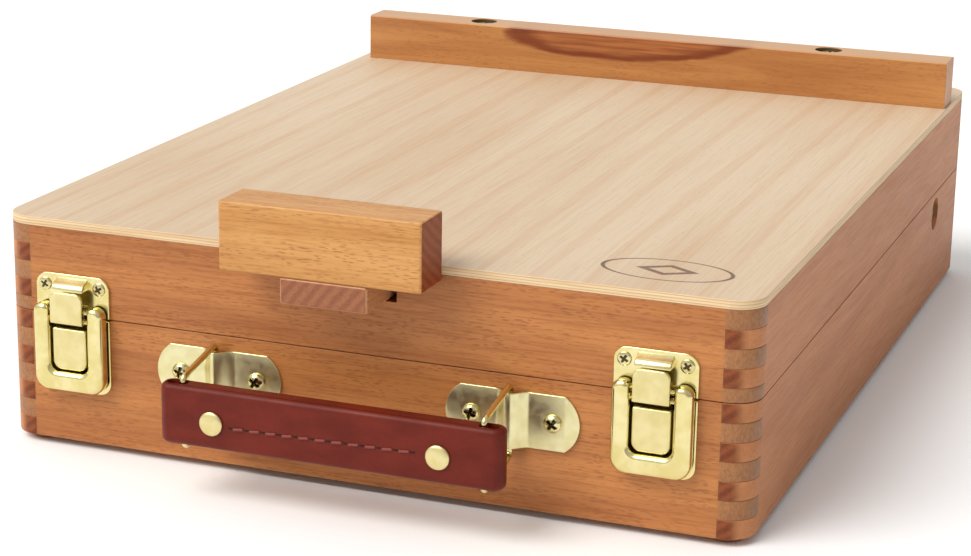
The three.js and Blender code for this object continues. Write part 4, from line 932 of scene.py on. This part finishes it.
def make_rivet(side):
    """A domed rivet head on both faces of the grip."""
    low, high = span("rivet_" + side)
    grip_low, grip_high = span("handle_grip")
    radius, reach = (high[0] - low[0]) / 2, (high[1] - low[1]) / 2
    half_t = (grip_high[1] - grip_low[1]) / 2
    turn = np.radians(np.linspace(0, 90, 9))
    dome = np.column_stack([radius * np.cos(turn), reach - 1.1 + 1.1 * np.sin(turn)])
    rim = [(0, half_t - 0.2), (radius - 0.35, half_t - 0.2), (radius, half_t + 0.25)]
    profile = np.vstack([rim, dome])
    heads = [turned(profile, (low + high) / 2, (0, out, 0), 48) for out in (-1, 1)]
    piece("rivet_" + side + "_head", together(*heads), BRASS_SATIN, "grip", "polished_brass",
          ("rivet_" + side,))


def make_handle():
    """Brackets, wire rings, sewn leather grip, rivets and screws."""
    for side in SIDES:
        x, z = make_bracket(side)
        make_ring(side, x, z)
    make_grip()
    make_stitches()
    for side in SIDES:
        make_rivet(side)


# ---- Hinges, stays, feet and the other small metal pieces ----

def make_hinge(side):
    """Two leaves, each with three screws, on a pin."""
    for leaf, up in (("case", -1), ("lid", 1)):
        name = "hinge_%s_leaf_%s" % (leaf, side)
        eased(name, BRASS, 0.15)
        x, z = middle(name)[0], SEAM_Z + up * 14.5
        heads = [screw_head((x + dx, BACK_Y + 1.35, z + up * dz), (0, 1, 0), 2.9, 0.6, dx, 0.5)
                 for dx, dz in ((-17, 0.0), (0, 2.0), (17, 0.0))]
        piece(name + "_screws", together(*heads), BRASS_SCREW, body_of_node(name),
              "polished_brass")
    eased("hinge_pin_" + side, BRASS, 0.15)


def make_stay(side, sign):
    """Slotted arm, its knob, and the bolt whose head shows in the case side's recess."""
    eased("stay_arm_" + side, BRASS, 0.25)
    eased("stay_knob_" + side, BRASS, 0.4)
    low, high = span("stay_bolt_" + side)
    y, z = ((low + high) / 2)[1:]
    radius, length = (high[1] - low[1]) / 2, high[0] - low[0]
    profile = [(0, 0), (3.9, 0), (4.6, 0.7), (4.6, 1.8), (2.5, 1.8), (2.5, length - 3),
               (radius, length - 3), (radius, length - 1.4), (radius - 0.5, length - 0.5),
               (radius * 0.6, length), (0, length)]
    inner_x = low[0] if sign > 0 else high[0]
    piece("stay_bolt_" + side + "_brass", turned(profile, (inner_x, y, z), (sign, 0, 0), 48),
          BRASS_SCREW, "case", "polished_brass", ("stay_bolt_" + side,))


def make_ledge_screw(side):
    """Domed cross-head screw at the bottom of its counterbore."""
    low, high = span("ledge_screw_" + side)
    x, y = ((low + high) / 2)[:2]
    piece("ledge_screw_" + side + "_head",
          screw_head((x, y, high[2] - 2.6), (0, 0, 1), 5.9, 3.2, 0.4, 0.3),
          BRASS_IN_SHADE, "lid", "polished_brass", ("ledge_screw_" + side,))


def make_foot(name):
    """Low round foot, wider towards the case."""
    low, high = span(name)
    x, y = ((low + high) / 2)[:2]
    radius = (high[0] - low[0]) / 2
    profile = [(0, 0), (radius * 0.72, 0), (radius * 0.86, 0.25), (radius * 0.95, 0.9),
               (radius, 2.0), (0, 2.0)]
    piece(name + "_turned", turned(profile, (x, y, low[2]), (0, 0, 1), 40),
          RUBBER, "case", "foot_rubber", (name,))


def make_small_parts():
    """Hinges, stays, ledge screws, feet and the mast's knob."""
    for side, sign in SIDES.items():
        make_hinge(side)
        make_stay(side, sign)
        make_ledge_screw(side)
        for end in ("front", "back"):
            make_foot("foot_%s_%s" % (end, side))
    eased("mast_knob", BRASS, 0.4)


# ---- Stage ----

FLOOR_HALF = 6.0  # metres


def make_floor():
    """A wide floor of white paper."""
    corners = [(x * FLOOR_HALF, y * FLOOR_HALF, 0) for x, y in ((-1, -1), (1, -1), (1, 1), (-1, 1))]
    mesh = bpy.data.meshes.new("floor")
    mesh.from_pydata(corners, [], [(0, 1, 2, 3)])
    # Matt white paper: it shows only the soft shadow.
    mesh.materials.append(material_of("white paper", mottled, "#fbfbfb", "#f8f8f8", 0.9, 400))
    floor = bpy.data.objects.new("floor", mesh)
    bpy.context.scene.collection.objects.link(floor)


def make_light():
    """A wide soft key from the left front, and a studio surround that is brighter above.

    The surround is also brighter on the left, so that brass has something to reflect.
    """
    key = bpy.data.lights.new("key", "SUN")
    key.energy, key.angle = 2.3, math.radians(38)
    key.color = (1.0, 0.985, 0.96)
    lamp = bpy.data.objects.new("key", key)
    lamp.rotation_mode = "QUATERNION"
    lamp.rotation_quaternion = Vector((-0.42, -0.55, 0.78)).to_track_quat("Z", "Y")
    bpy.context.scene.collection.objects.link(lamp)

    world = bpy.data.worlds.new("studio")
    world.use_nodes = True
    tree = world.node_tree
    tree.nodes.clear()
    parts = node(tree, PARTS, {0: node(tree, COORDS, output="Generated")}).node
    height = node(tree, RANGE, {0: parts.outputs[2], 1: -0.05, 2: 0.5}, **SMOOTH)
    sky = node(tree, MIX, {0: height, 6: (0.66, 0.64, 0.62, 1.0), 7: (1.0, 1.0, 1.0, 1.0)}, 2,
               **TINT)
    left = node(tree, RANGE, {0: parts.outputs[0], 1: 0.5, 2: -0.6, 3: 0.55, 4: 1.0}, **SMOOTH)
    strength = node(tree, MATH, {0: left, 1: 0.95}, operation="MULTIPLY")
    shade = node(tree, "ShaderNodeBackground", {"Color": sky, "Strength": strength})
    node(tree, "ShaderNodeOutputWorld", {"Surface": shade})
    bpy.context.scene.world = world
    bpy.context.scene.view_settings.view_transform = "Standard"


make_camera()
make_woodwork()
for latch_side in SIDES:
    make_latch(latch_side)
make_handle()
make_small_parts()
make_floor()
make_light()
